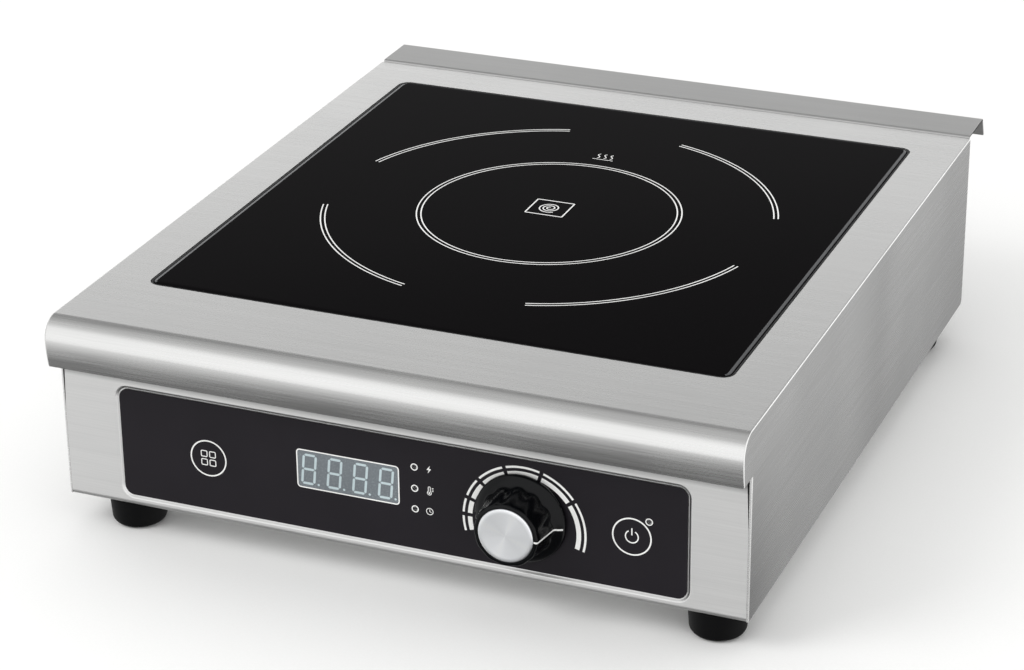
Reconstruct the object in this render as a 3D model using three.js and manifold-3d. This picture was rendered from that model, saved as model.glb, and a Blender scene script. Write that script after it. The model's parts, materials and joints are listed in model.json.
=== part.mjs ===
// Countertop induction hob: steel casing, glass cooking plate, front control panel, work coil, power board and fans.
// Millimetres, +Z up, front towards -Y. Pieces are drawn with y = 0 on the front panel and z = 0 on the table;
// the last lines move the whole hob so that its origin is the centre of its footprint.

import * as THREE from 'three';
import { mergeVertices } from 'three/addons/utils/BufferGeometryUtils.js';
import Module from 'manifold-3d';

const wasm = await Module();
wasm.setup();

// ---------- driving dimensions ----------

const WIDTH = 330;
const BODY_DEPTH = 354;
const BODY_HEIGHT = 93.3;
const FOOT_HEIGHT = 15;
const SHEET = 1.2;
const GAP = 0.3;
const FOLD_RADIUS = 3;
const LOWER_CORNER = 3.5;

const NOSE_REACH = 12;
const NOSE_RADIUS = 10;
const NOSE_HEIGHT = 23.1;
const NOSE_TUCK_RADIUS = 60;

const HOOD_WIDTH = 328.2;
const HOOD_REACH = 27.6;
const HOOD_FLARE = 4.2;
const HOOD_DROP = 10.1;
const HOOD_SHEET = 1;
const HOOD_RISE = 0.8;
const HOOD_FLANGE = 20;

const GLASS_WIDTH = 280;
const GLASS_DEPTH = 285;
const GLASS_THICK = 4;
const GLASS_CORNER = 4.5;
const GLASS_CENTRE_Y = 185;
const GLASS_PROUD = 0.2;
const SEAL_LIP = 0.8;
const SEAL_BED = 8;

const OVERLAY_WIDTH = 272.4;
const OVERLAY_HEIGHT = 53.7;
const OVERLAY_THICK = 0.6;
const OVERLAY_CORNER = 4.6;
const OVERLAY_X = 0.6;
const OVERLAY_ABOVE_EDGE = 32.7;
const OVERLAY_FRONT_Y = 0.1;
const RECESS_DEPTH = OVERLAY_FRONT_Y + OVERLAY_THICK + GAP;
const RECESS_SLOPE = 1.3;

const DISPLAY = { width: 50, height: 19.2, corner: 1.8, x: -22.1, aboveEdge: 35.8 };
const KEY_RADIUS = 9.1;
const KEY_TRAVEL = 0.5;
const KEY_ABOVE_EDGE = 32;
const KEYS = { function: -91.4, power: 111.7 };
const LED_RADIUS = 1.5;
const LEDS = {
  power_level: { x: 10.3, aboveEdge: 46.6 },
  temperature: { x: 10.3, aboveEdge: 36.1 },
  timer: { x: 10.3, aboveEdge: 25.9 },
  on: { x: 119.5, aboveEdge: 40.6 },
};
const LED_HOLE = LED_RADIUS + 0.2;
const LED_TIP_Y = 0.7;

const KNOB = { x: 61, aboveEdge: 32, reach: 19, skirt: 21.1, grip: 16.6, top: 14.9, cap: 12.8, flutes: 12 };
const KNOB_CAP_PROUD = 0.2;
const FLUTE_DEPTH = 0.07;
const SHAFT_RADIUS = 3;
const BUSHING_RADIUS = 4.5;
const CONTROL_BOARD_Y = 13;
const CONTROL_BOARD = { left: -112, right: 130, low: 6, high: 60, thick: 1.6 };
const BUZZER = { radius: 6, height: 7, x: 25, aboveEdge: 40 };

const FOOT = { top: 14, waist: 12.8, rounding: 3.6, screwHole: 2.3, headHole: 5.5, headDepth: 8 };
const FEET = {
  front_left: { x: -138, y: 16 },
  front_right: { x: 146, y: 16 },
  rear_left: { x: -138, y: 328 },
  rear_right: { x: 146, y: 328 },
};

const COIL = { inner: 30, outer: 104.5, thick: 4.6, former: 108, ferrites: 6 };
const SENSOR_RADIUS = 6.5;
const SUPPORT_CIRCLE = 98;
const SUPPORTS = 3;

const EXHAUST = { width: 4, low: 22, high: 66, pitch: 9, perSide: 9, firstX: 20 };
const INTAKE = { width: 4, pitch: 9, count: 7, reach: 34 };
const FAN = { side: 80, height: 25, bore: 38, hub: 16, blades: 7, x: 58, y: 72 };
const BOARD = { width: 220, depth: 126, thick: 1.6, x: 0, y: 208, height: 25.7 };
const HEAT_SINK = { width: 96, depth: 90, height: 36, fins: 10, finThick: 2, base: 6, x: -8, y: 208 };

const CHOKE = { ringRadius: 14, tubeRadius: 6, x: 80, y: 240 };

const CORD_RADIUS = 4;
const CORD_X = 110;
const CORD_HEIGHT = 38;
const CORD_HOLE = 8.4;
const PLUG = { length: 38, height: 40, thick: 20, corner: 8, faceX: -96, y: 371, pinRadius: 2.5, pinLength: 19 };
const PIN_SPACING = 13;
const TABLE_CLEARANCE = 1;
const CORD_BORE = CORD_RADIUS + 2 * GAP;

// ---------- levels worked out from them ----------

const EDGE = FOOT_HEIGHT;
const TOP = EDGE + BODY_HEIGHT;
const FLOOR = EDGE + SHEET;
const INSIDE = WIDTH / 2 - SHEET;
const GLASS_TOP = TOP + GLASS_PROUD;
const GLASS_UNDER = GLASS_TOP - GLASS_THICK;
const POCKET_FLOOR = GLASS_UNDER - SEAL_LIP - 2 * GAP;
const POCKET_MARGIN = SEAL_LIP + 2 * GAP;
const COIL_TOP = GLASS_UNDER - 2.4;
const FORMER_TOP = COIL_TOP - COIL.thick - GAP;
const FORMER_THICK = 3.7;
const FORMER_UNDER = FORMER_TOP - FORMER_THICK;
const KNOB_FRONT_Y = -KNOB.reach;
const KNOB_Z = EDGE + KNOB.aboveEdge;
const REAR_Y = BODY_DEPTH;
const HOOD_BACK_Y = REAR_Y + HOOD_REACH + HOOD_FLARE;
const BOARD_TOP = BOARD.height + BOARD.thick;

const ARC_STEPS = 3;
const CORNER_STEPS = 2;
const ROUND = 24;
const FINE_ROUND = 36;
const SMALL_ROUND = 12;

// ---------- solids ----------

/** The signed volume of an indexed geometry: negative when its faces point inwards. */
function signedVolume(geometry) {
  const position = geometry.attributes.position;
  const index = geometry.index.array;
  const corner = [new THREE.Vector3(), new THREE.Vector3(), new THREE.Vector3()];
  let sum = 0;
  for (let i = 0; i < index.length; i += 3) {
    corner.forEach((c, k) => c.fromBufferAttribute(position, index[i + k]));
    sum += corner[0].dot(corner[1].cross(corner[2]));
  }
  return sum / 6;
}

/** A closed three.js geometry as a solid that can be cut and joined. */
function solid(geometry) {
  const bare = geometry.clone();
  bare.deleteAttribute('normal');
  bare.deleteAttribute('uv');
  const merged = mergeVertices(bare, 1e-4);
  const triVerts = Uint32Array.from(merged.index.array);
  if (signedVolume(merged) < 0) {
    triVerts.reverse();
  }
  const vertProperties = Float32Array.from(merged.attributes.position.array);
  return new wasm.Manifold(new wasm.Mesh({ numProp: 3, vertProperties, triVerts }));
}

/** The surface of a solid as a three.js geometry. */
function surface(body) {
  const { vertProperties, triVerts } = body.getMesh();
  const geometry = new THREE.BufferGeometry();
  geometry.setAttribute('position', new THREE.BufferAttribute(vertProperties, 3));
  geometry.setIndex(new THREE.BufferAttribute(triVerts, 1));
  geometry.computeVertexNormals();
  return geometry;
}

function join(first, ...others) {
  return others.reduce((body, other) => body.add(other), first);
}

function cut(body, ...tools) {
  return tools.reduce((rest, tool) => rest.subtract(tool), body);
}

/** A block between two corners. */
function block(low, high) {
  const size = high.map((value, axis) => value - low[axis]);
  const centre = high.map((value, axis) => (value + low[axis]) / 2);
  return solid(new THREE.BoxGeometry(...size).translate(...centre));
}

/** A rectangle with rounded corners, as an outline round its own centre. */
function roundedRectangle(width, height, radius) {
  const x = width / 2 - radius;
  const y = height / 2 - radius;
  const outline = new THREE.Shape();
  outline.absarc(x, y, radius, 0, Math.PI / 2);
  outline.absarc(-x, y, radius, Math.PI / 2, Math.PI);
  outline.absarc(-x, -y, radius, Math.PI, 1.5 * Math.PI);
  outline.absarc(x, -y, radius, 1.5 * Math.PI, 2 * Math.PI);
  return outline;
}

/** An outline drawn in X and Y, raised from one level to another. */
function raised(outline, x, y, low, high, curveSegments = ARC_STEPS) {
  const geometry = new THREE.ExtrudeGeometry(outline, { depth: high - low, bevelEnabled: false, curveSegments });
  return solid(geometry.translate(x, y, low));
}

/** An outline drawn in X and Z as seen from the front, filling the depth between two y values. */
function facing(outline, x, z, front, back, curveSegments = ARC_STEPS) {
  const geometry = new THREE.ExtrudeGeometry(outline, { depth: back - front, bevelEnabled: false, curveSegments });
  return solid(geometry.rotateX(Math.PI / 2).translate(x, back, z));
}

/** A section drawn in Y and Z, run across the hob between two x values. */
function across(outline, left, right) {
  const geometry = new THREE.ExtrudeGeometry(outline, {
    depth: right - left,
    bevelEnabled: false,
    curveSegments: ARC_STEPS,
  });
  const yzx = new THREE.Matrix4().makeBasis(
    new THREE.Vector3(0, 1, 0),
    new THREE.Vector3(0, 0, 1),
    new THREE.Vector3(1, 0, 0),
  );
  return solid(geometry.applyMatrix4(yzx).translate(left, 0, 0));
}

/** The section of a folded sheet: its outer face follows the path and its thickness lies to the path's left. */
function sheetSection(path, thickness) {
  const outer = path.getPoints(ARC_STEPS).filter((p, i, all) => i === 0 || p.distanceTo(all[i - 1]) > 1e-6);
  const sides = outer.slice(1).map((p, i) => p.clone().sub(outer[i]).normalize());
  const normals = sides.map((side) => new THREE.Vector2(-side.y, side.x));
  const inner = outer.map((p, i) => {
    const before = normals[Math.max(i - 1, 0)];
    const after = normals[Math.min(i, normals.length - 1)];
    const mitre = before.clone().add(after).divideScalar(1 + before.dot(after));
    return p.clone().addScaledVector(mitre, thickness);
  });
  return new THREE.Shape([...outer, ...inner.reverse()]);
}

/** A profile of [radius, y] points turned about an axis parallel to Y. */
function turnedAlongY(profile, x, z, segments = ROUND) {
  const points = profile.map(([radius, y]) => new THREE.Vector2(radius, y));
  return solid(new THREE.LatheGeometry(points, segments).translate(x, 0, z));
}

/** A profile of [radius, z] points turned about an upright axis. */
function turnedUpright(profile, x, y, segments = ROUND) {
  const points = profile.map(([radius, z]) => new THREE.Vector2(radius, z));
  return solid(new THREE.LatheGeometry(points, segments).rotateX(Math.PI / 2).translate(x, y, 0));
}

/** A closed ring profile, for pieces with a hole on their axis. */
function ring(inner, outer, low, high) {
  return [[inner, low], [outer, low], [outer, high], [inner, high], [inner, low]];
}

/** A cylinder profile that starts and ends on the axis. */
function disc(radius, low, high) {
  return [[0, low], [radius, low], [radius, high], [0, high]];
}

/** A point on a circle of the cooking zone, at an angle in degrees from +X. */
function onCoilCircle(radius, degrees) {
  const angle = THREE.MathUtils.degToRad(degrees);
  return { x: radius * Math.cos(angle), y: GLASS_CENTRE_Y + radius * Math.sin(angle) };
}

// ---------- materials ----------

function finish(colour, roughness, metalness = 0) {
  return new THREE.MeshStandardMaterial({ color: colour, roughness, metalness });
}

const MATERIALS = {
  steel: finish('#c8cac9', 0.32, 1),
  glass: finish('#0c0c0e', 0.05),
  silicone: finish('#151516', 0.7),
  overlay: finish('#242328', 0.35),
  lens: finish('#6e7479', 0.15),
  knob: finish('#101012', 0.25),
  aluminium: finish('#e6e8ea', 0.25, 1),
  lamp: finish('#c9c2bd', 0.3),
  rubber: finish('#141414', 0.85),
  plastic: finish('#1c1c1f', 0.55),
  board: finish('#1f5a33', 0.5),
  brass: finish('#b6924a', 0.3, 1),
  copper: finish('#a8643a', 0.45, 1),
  ferrite: finish('#3a3a3d', 0.7),
  mica: finish('#d9d2bf', 0.8),
  capacitor: finish('#2c5d9c', 0.5),
  screw: finish('#b9bbbd', 0.3, 1),
};

const hob = new THREE.Group();

/** Adds one named piece to the hob. */
function add(name, body, material) {
  const mesh = new THREE.Mesh(surface(body), MATERIALS[material]);
  mesh.name = name;
  hob.add(mesh);
}

// ---------- casing ----------

/** The bullnose's face, a sheet's thickness inside the outer one or on it: round above, then tucking in to its lip. */
function noseFace(outline, inset) {
  const apex = TOP - NOSE_RADIUS;
  const tuckRadius = NOSE_TUCK_RADIUS - inset;
  const tuck = Math.asin((NOSE_HEIGHT - NOSE_RADIUS - inset) / tuckRadius);
  outline.absarc(NOSE_RADIUS - NOSE_REACH, apex, NOSE_RADIUS - inset, Math.PI / 2, Math.PI);
  outline.absarc(NOSE_TUCK_RADIUS - NOSE_REACH, apex, tuckRadius, Math.PI, Math.PI + tuck);
}

/** The side outline of the cover, with the bullnose over the front panel. */
function coverOutline() {
  const outline = new THREE.Shape();
  outline.moveTo(0, EDGE);
  outline.lineTo(BODY_DEPTH - FOLD_RADIUS, EDGE);
  outline.absarc(BODY_DEPTH - FOLD_RADIUS, EDGE + FOLD_RADIUS, FOLD_RADIUS, -Math.PI / 2, 0);
  outline.lineTo(BODY_DEPTH, TOP);
  outline.lineTo(NOSE_RADIUS - NOSE_REACH, TOP);
  noseFace(outline, 0);
  outline.lineTo(0, TOP - NOSE_HEIGHT);
  return outline;
}

/** The room inside the cover, open below, at the back and in front of the panel. */
function coverInside() {
  const lipEnd = -0.4;
  const below = EDGE - 10;
  const behind = BODY_DEPTH + 10;
  const lipTop = TOP - NOSE_HEIGHT + SHEET;
  const outline = new THREE.Shape();
  outline.moveTo(lipEnd, below);
  outline.lineTo(behind, below);
  outline.lineTo(behind, TOP - SHEET);
  outline.lineTo(NOSE_RADIUS - NOSE_REACH, TOP - SHEET);
  noseFace(outline, SHEET);
  outline.lineTo(lipEnd, lipTop);
  return outline;
}

/** A rounded plate that follows the glass's outline, grown by a margin on every side. */
function glassOutline(margin) {
  return roundedRectangle(GLASS_WIDTH + 2 * margin, GLASS_DEPTH + 2 * margin, Math.max(GLASS_CORNER + margin, 2));
}

function glassLayer(margin, low, high) {
  return raised(glassOutline(margin), 0, GLASS_CENTRE_Y, low, high, CORNER_STEPS);
}

/** What is cut away to round the casing's two lower corners, as seen from the front. */
function lowerCorners() {
  const reach = LOWER_CORNER + 1;
  return [-1, 1].map((side) => {
    const outline = new THREE.Shape();
    outline.moveTo(0, -reach);
    outline.lineTo(side * reach, -reach);
    outline.lineTo(side * reach, 0);
    outline.absarc(0, 0, LOWER_CORNER, side > 0 ? 0 : Math.PI, 1.5 * Math.PI, side > 0);
    return facing(outline, side * (WIDTH / 2 - LOWER_CORNER), EDGE + LOWER_CORNER, -1, REAR_Y + 1);
  });
}

function topCover() {
  const shell = cut(
    across(coverOutline(), -WIDTH / 2, WIDTH / 2),
    across(coverInside(), -INSIDE, INSIDE),
  );
  const pocketWall = glassLayer(POCKET_MARGIN + SHEET, POCKET_FLOOR - SHEET, TOP - SHEET / 2);
  const pocket = glassLayer(POCKET_MARGIN, POCKET_FLOOR, TOP + 1);
  const opening = glassLayer(POCKET_MARGIN - SEAL_BED, POCKET_FLOOR - 2 * SHEET, TOP);
  return cut(join(shell, pocketWall), pocket, opening, ...lowerCorners());
}

function glassPlate() {
  const edgeBreak = 0.4;
  const geometry = new THREE.ExtrudeGeometry(glassOutline(-edgeBreak), {
    depth: GLASS_THICK - 2 * edgeBreak,
    bevelThickness: edgeBreak,
    bevelSize: edgeBreak,
    bevelSegments: 1,
    curveSegments: CORNER_STEPS,
  });
  return solid(geometry.translate(0, GLASS_CENTRE_Y, GLASS_UNDER + edgeBreak));
}

/** An L-section frame: a lip round the glass and a bed under its edge. */
function glassSeal() {
  const low = POCKET_FLOOR + GAP;
  return cut(
    glassLayer(SEAL_LIP + GAP, low, TOP - 0.1),
    glassLayer(GAP, GLASS_UNDER - GAP, TOP + 1),
    glassLayer(POCKET_MARGIN - SEAL_BED, low - 1, TOP),
  );
}

function rearHood() {
  const top = TOP + HOOD_RISE;
  const path = new THREE.Path();
  path.moveTo(HOOD_BACK_Y, top - HOOD_DROP);
  path.lineTo(REAR_Y + HOOD_REACH, top);
  path.lineTo(REAR_Y + GAP, top);
  path.lineTo(REAR_Y + GAP, top - HOOD_FLANGE);
  return across(sheetSection(path, HOOD_SHEET), -HOOD_WIDTH / 2, HOOD_WIDTH / 2);
}

/** The outer path of the chassis: front panel, floor and rear panel, with a flange along both top edges. */
function chassisPath() {
  const rim = TOP - SHEET - 0.6;
  const flange = 9;
  const path = new THREE.Path();
  path.moveTo(flange, rim);
  path.lineTo(0, rim);
  path.lineTo(0, EDGE + FOLD_RADIUS);
  path.absarc(FOLD_RADIUS, EDGE + FOLD_RADIUS, FOLD_RADIUS, Math.PI, 1.5 * Math.PI);
  path.lineTo(REAR_Y - FOLD_RADIUS, EDGE);
  path.absarc(REAR_Y - FOLD_RADIUS, EDGE + FOLD_RADIUS, FOLD_RADIUS, 1.5 * Math.PI, 2 * Math.PI);
  path.lineTo(REAR_Y, rim);
  path.lineTo(REAR_Y - flange, rim);
  return path;
}

/** The pressed recess round the overlay, with sloping sides, as the space it takes at a given offset. */
function pressedRecess(offset) {
  const margin = 0.4 + offset;
  const floorOutline = roundedRectangle(
    OVERLAY_WIDTH + 2 * margin,
    OVERLAY_HEIGHT + 2 * margin,
    OVERLAY_CORNER + margin,
  );
  const straight = 1;
  const geometry = new THREE.ExtrudeGeometry(floorOutline, {
    depth: straight,
    bevelThickness: RECESS_DEPTH,
    bevelSize: RECESS_SLOPE,
    bevelSegments: 1,
    curveSegments: ARC_STEPS,
  });
  return solid(geometry.rotateX(Math.PI / 2).translate(OVERLAY_X, offset, EDGE + OVERLAY_ABOVE_EDGE));
}

/** Two rows of upright slots through the rear panel. */
function exhaustSlots() {
  const slots = [];
  for (const side of [-1, 1]) {
    for (let i = 0; i < EXHAUST.perSide; i += 1) {
      const x = side * (EXHAUST.firstX + i * EXHAUST.pitch);
      slots.push(block(
        [x - EXHAUST.width / 2, REAR_Y - 5, EDGE + EXHAUST.low],
        [x + EXHAUST.width / 2, REAR_Y + 5, EDGE + EXHAUST.high],
      ));
    }
  }
  return slots;
}

/** Air slots in the floor under one fan, longest across the middle. */
function intakeSlots(fanX) {
  return Array.from({ length: INTAKE.count }, (_, i) => {
    const offset = (i - (INTAKE.count - 1) / 2) * INTAKE.pitch;
    const halfLength = Math.sqrt(INTAKE.reach ** 2 - offset ** 2);
    const x = fanX + offset;
    return block(
      [x - INTAKE.width / 2, FAN.y - halfLength, EDGE - 1],
      [x + INTAKE.width / 2, FAN.y + halfLength, FLOOR + 1],
    );
  });
}

/** The holes in the recess floor for the display, lamps, keys and encoder bushing. */
function panelHoles() {
  const front = -1;
  const back = RECESS_DEPTH + SHEET + 1;
  const window = roundedRectangle(DISPLAY.width + 1.2, DISPLAY.height + 1.2, DISPLAY.corner);
  return [
    facing(window, DISPLAY.x, EDGE + DISPLAY.aboveEdge, front, back, 1),
    ...Object.values(LEDS).map((led) =>
      turnedAlongY(disc(LED_RADIUS + 0.8, front, back), led.x, EDGE + led.aboveEdge, SMALL_ROUND)),
    ...Object.values(KEYS).map((x) =>
      turnedAlongY(disc(KEY_RADIUS + 0.6, front, back), x, EDGE + KEY_ABOVE_EDGE)),
    turnedAlongY(disc(BUSHING_RADIUS + GAP, front, back), KNOB.x, KNOB_Z, SMALL_ROUND),
  ];
}

/** Bosses on the floor under the power board's corners. */
function boardBosses() {
  const inset = 8;
  const bosses = [];
  for (const sideX of [-1, 1]) {
    for (const sideY of [-1, 1]) {
      const x = BOARD.x + sideX * (BOARD.width / 2 - inset);
      const y = BOARD.y + sideY * (BOARD.depth / 2 - inset);
      bosses.push(turnedUpright(disc(3.5, EDGE + SHEET / 2, BOARD.height - GAP), x, y, 8));
    }
  }
  return bosses;
}

function chassisTray() {
  const half = INSIDE - GAP;
  const sheet = across(sheetSection(chassisPath(), SHEET), -half, half);
  const behindPanel = block([-half, SHEET / 2, EDGE], [half, 10, TOP]);
  const pressing = pressedRecess(SHEET).intersect(behindPanel);
  const screwHoles = Object.values(FEET).map((foot) =>
    turnedUpright(disc(FOOT.screwHole, EDGE - 1, FLOOR + 1), foot.x, foot.y, SMALL_ROUND));
  const cordHole = turnedAlongY(disc(CORD_HOLE, REAR_Y - 4, REAR_Y + 4), CORD_X, CORD_HEIGHT);
  return cut(
    join(sheet, pressing, ...boardBosses()),
    pressedRecess(0),
    ...panelHoles(),
    ...screwHoles,
    ...intakeSlots(-FAN.x),
    ...intakeSlots(FAN.x),
    ...exhaustSlots(),
    cordHole,
    ...lowerCorners(),
  );
}

function addCasing() {
  add('top_cover', topCover(), 'steel');
  add('glass_plate', glassPlate(), 'glass');
  add('glass_seal', glassSeal(), 'silicone');
  add('rear_hood', rearHood(), 'steel');
  add('chassis_tray', chassisTray(), 'steel');
}

// ---------- feet ----------

/** A round foot with a rounded lower edge and a recess in its sole for the screw's head. */
function foot(place) {
  const top = FOOT_HEIGHT - GAP;
  const rounding = new THREE.Path();
  rounding.absarc(FOOT.waist - FOOT.rounding, FOOT.rounding, FOOT.rounding, -Math.PI / 2, 0);
  const profile = [
    [FOOT.screwHole, FOOT.headDepth],
    [FOOT.headHole, FOOT.headDepth],
    [FOOT.headHole, 0],
    ...rounding.getPoints(ARC_STEPS).map((p) => [p.x, p.y]),
    [FOOT.top, top],
    [FOOT.screwHole, top],
    [FOOT.screwHole, FOOT.headDepth],
  ];
  return turnedUpright(profile, place.x, place.y);
}

/** A pan-head screw up through the foot and the floor. */
function footScrew(place) {
  const seat = FOOT.headDepth - GAP;
  const face = seat - 2.4;
  const end = FLOOR + 5;
  const profile = [[0, face], [3.2, face], [4, face + 1], [4, seat], [2, seat], [2, end], [0, end]];
  return turnedUpright(profile, place.x, place.y, SMALL_ROUND);
}

function addFeet() {
  for (const [corner, place] of Object.entries(FEET)) {
    add(`foot_${corner}`, foot(place), 'rubber');
    add(`foot_screw_${corner}`, footScrew(place), 'screw');
  }
}

// ---------- front controls ----------

function controlOverlay() {
  const front = OVERLAY_FRONT_Y;
  const back = front + OVERLAY_THICK;
  const sheet = facing(
    roundedRectangle(OVERLAY_WIDTH, OVERLAY_HEIGHT, OVERLAY_CORNER),
    OVERLAY_X,
    EDGE + OVERLAY_ABOVE_EDGE,
    front,
    back,
  );
  const window = roundedRectangle(DISPLAY.width + 2 * GAP, DISPLAY.height + 2 * GAP, DISPLAY.corner + GAP);
  const holes = [
    facing(window, DISPLAY.x, EDGE + DISPLAY.aboveEdge, front - 1, back + 1, 2),
    ...Object.values(KEYS).map((x) =>
      turnedAlongY(disc(KEY_RADIUS + GAP, front - 1, back + 1), x, EDGE + KEY_ABOVE_EDGE, FINE_ROUND)),
    ...Object.values(LEDS).map((led) =>
      turnedAlongY(disc(LED_HOLE, front - 1, back + 1), led.x, EDGE + led.aboveEdge, SMALL_ROUND)),
    turnedAlongY(disc(8, front - 1, back + 1), KNOB.x, KNOB_Z, ROUND),
  ];
  return cut(sheet, ...holes);
}

function displayWindow() {
  const outline = roundedRectangle(DISPLAY.width, DISPLAY.height, DISPLAY.corner);
  const front = OVERLAY_FRONT_Y;
  return facing(outline, DISPLAY.x, EDGE + DISPLAY.aboveEdge, front, front + OVERLAY_THICK, 2);
}

function displayModule() {
  const halfWidth = DISPLAY.width / 2;
  const halfHeight = DISPLAY.height / 2;
  const z = EDGE + DISPLAY.aboveEdge;
  return block(
    [DISPLAY.x - halfWidth, 2, z - halfHeight],
    [DISPLAY.x + halfWidth, CONTROL_BOARD_Y - GAP, z + halfHeight],
  );
}

const SWITCH_FRONT_Y = 8.2;

/** A round key with its plunger behind it. */
function key(x) {
  const front = OVERLAY_FRONT_Y;
  const plungerEnd = SWITCH_FRONT_Y - KEY_TRAVEL - GAP;
  const back = front + OVERLAY_THICK;
  const profile = [[0, front], [KEY_RADIUS, front], [KEY_RADIUS, back], [3, back], [3, plungerEnd], [0, plungerEnd]];
  return turnedAlongY(profile, x, EDGE + KEY_ABOVE_EDGE, FINE_ROUND);
}

function keySwitch(x) {
  const half = 3;
  const z = EDGE + KEY_ABOVE_EDGE;
  return block([x - half, SWITCH_FRONT_Y, z - half], [x + half, CONTROL_BOARD_Y - GAP, z + half]);
}

/** A small round lamp with a domed tip, standing on its spacer. */
function lamp(led) {
  const shoulder = 4;
  const profile = [
    [0, LED_TIP_Y],
    [LED_RADIUS * 0.7, LED_TIP_Y + 0.4],
    [LED_RADIUS, LED_TIP_Y + 1.2],
    [LED_RADIUS, shoulder],
    [LED_RADIUS + 0.4, shoulder],
    [LED_RADIUS + 0.4, CONTROL_BOARD_Y - GAP],
    [0, CONTROL_BOARD_Y - GAP],
  ];
  return turnedAlongY(profile, led.x, EDGE + led.aboveEdge, SMALL_ROUND);
}

/** The knob's outline from its bore to its skirt, with shallow flutes round the grip. */
function knobBody() {
  const boreRadius = SHAFT_RADIUS + GAP;
  const boreEnd = -14;
  const under = -0.8;
  const top = KNOB_FRONT_Y;
  const capSeat = top + 1.2 + GAP;
  const gripBase = -6;
  const profile = [
    [0, capSeat],
    [KNOB.cap + GAP, capSeat],
    [KNOB.cap + GAP, top + 0.2],
    [KNOB.top - 0.8, top],
    [KNOB.top, top + 0.9],
    [(KNOB.top + KNOB.grip) / 2, (top + gripBase) / 2],
    [KNOB.grip, gripBase],
    [KNOB.grip + 1.2, -4.4],
    [KNOB.skirt - 0.5, -2.8],
    [KNOB.skirt, -2.2],
    [KNOB.skirt, under],
    [KNOB.skirt - 1.6, under],
    [KNOB.skirt - 2.2, -1.8],
    [9, -1.8],
    [9, under - 2],
    [0, under - 2],
  ];
  const points = profile.map(([radius, y]) => new THREE.Vector2(radius, y));
  const geometry = new THREE.LatheGeometry(points, 4 * KNOB.flutes);
  const position = geometry.attributes.position;
  for (let i = 0; i < position.count; i += 1) {
    const x = position.getX(i);
    const y = position.getY(i);
    const z = position.getZ(i);
    const radius = Math.hypot(x, z);
    const onGrip = radius > KNOB.cap + 1 && y < gripBase + 1.7;
    const wave = 0.5 - 0.5 * Math.cos(KNOB.flutes * Math.atan2(z, x));
    const scale = onGrip ? 1 - FLUTE_DEPTH * wave ** 2 : 1;
    position.setXYZ(i, x * scale, y, z * scale);
  }
  const body = solid(geometry.translate(KNOB.x, 0, KNOB_Z));
  const bore = turnedAlongY(disc(boreRadius, boreEnd, 1), KNOB.x, KNOB_Z, SMALL_ROUND);
  return cut(body, bore);
}

function knobCap() {
  const back = KNOB_FRONT_Y + 1.2;
  const front = KNOB_FRONT_Y - KNOB_CAP_PROUD;
  const profile = [[0, front], [KNOB.cap - 0.5, front], [KNOB.cap, front + 0.4], [KNOB.cap, back], [0, back]];
  return turnedAlongY(profile, KNOB.x, KNOB_Z, FINE_ROUND);
}

/** The encoder's housing with its threaded bushing through the panel. */
function encoderBody() {
  const half = 6.5;
  const bushingFront = -0.6;
  const houseFront = RECESS_DEPTH + SHEET + GAP;
  const house = block(
    [KNOB.x - half, houseFront, KNOB_Z - half],
    [KNOB.x + half, CONTROL_BOARD_Y - GAP, KNOB_Z + half],
  );
  const bushing = turnedAlongY(disc(BUSHING_RADIUS, bushingFront, houseFront + 1), KNOB.x, KNOB_Z, SMALL_ROUND);
  const bore = turnedAlongY(disc(SHAFT_RADIUS + GAP, bushingFront - 1, 10), KNOB.x, KNOB_Z, SMALL_ROUND);
  return cut(join(house, bushing), bore);
}

function encoderShaft() {
  return turnedAlongY(disc(SHAFT_RADIUS, -13.6, 9.6), KNOB.x, KNOB_Z, SMALL_ROUND);
}

/** A hexagon nut that holds the bushing to the panel. */
function encoderNut() {
  const front = -0.7;
  const back = RECESS_DEPTH - GAP;
  const hexagon = turnedAlongY(disc(7.2, front, back), KNOB.x, KNOB_Z, 6);
  const thread = turnedAlongY(disc(BUSHING_RADIUS + GAP, front - 1, back + 1), KNOB.x, KNOB_Z, SMALL_ROUND);
  return cut(hexagon, thread);
}

function controlBoard() {
  return block(
    [CONTROL_BOARD.left, CONTROL_BOARD_Y, EDGE + CONTROL_BOARD.low],
    [CONTROL_BOARD.right, CONTROL_BOARD_Y + CONTROL_BOARD.thick, EDGE + CONTROL_BOARD.high],
  );
}

const BEHIND_CONTROL_BOARD = CONTROL_BOARD_Y + CONTROL_BOARD.thick + GAP;

function buzzer() {
  const profile = disc(BUZZER.radius, BEHIND_CONTROL_BOARD, BEHIND_CONTROL_BOARD + BUZZER.height);
  return turnedAlongY(profile, BUZZER.x, EDGE + BUZZER.aboveEdge, SMALL_ROUND);
}

/** A flat cable that loops from the back of the control board down to the edge of the power board. */
function ribbonCable() {
  const start = BEHIND_CONTROL_BOARD;
  const socket = EDGE + 30;
  const low = FLOOR + 4;
  const boardEdge = BOARD.y - BOARD.depth / 2;
  const landing = BOARD_TOP + 3;
  const halfWidth = 10;
  const path = new THREE.Path();
  path.moveTo(start, socket);
  path.lineTo(start + 6, socket);
  path.lineTo(start + 12, socket - 6);
  path.lineTo(start + 12, low + 8);
  path.lineTo(start + 20, low);
  path.lineTo(boardEdge - 24, low);
  path.lineTo(boardEdge - 10, landing);
  path.lineTo(boardEdge + 8, landing);
  return across(sheetSection(path, 1), -halfWidth, halfWidth);
}

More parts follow.
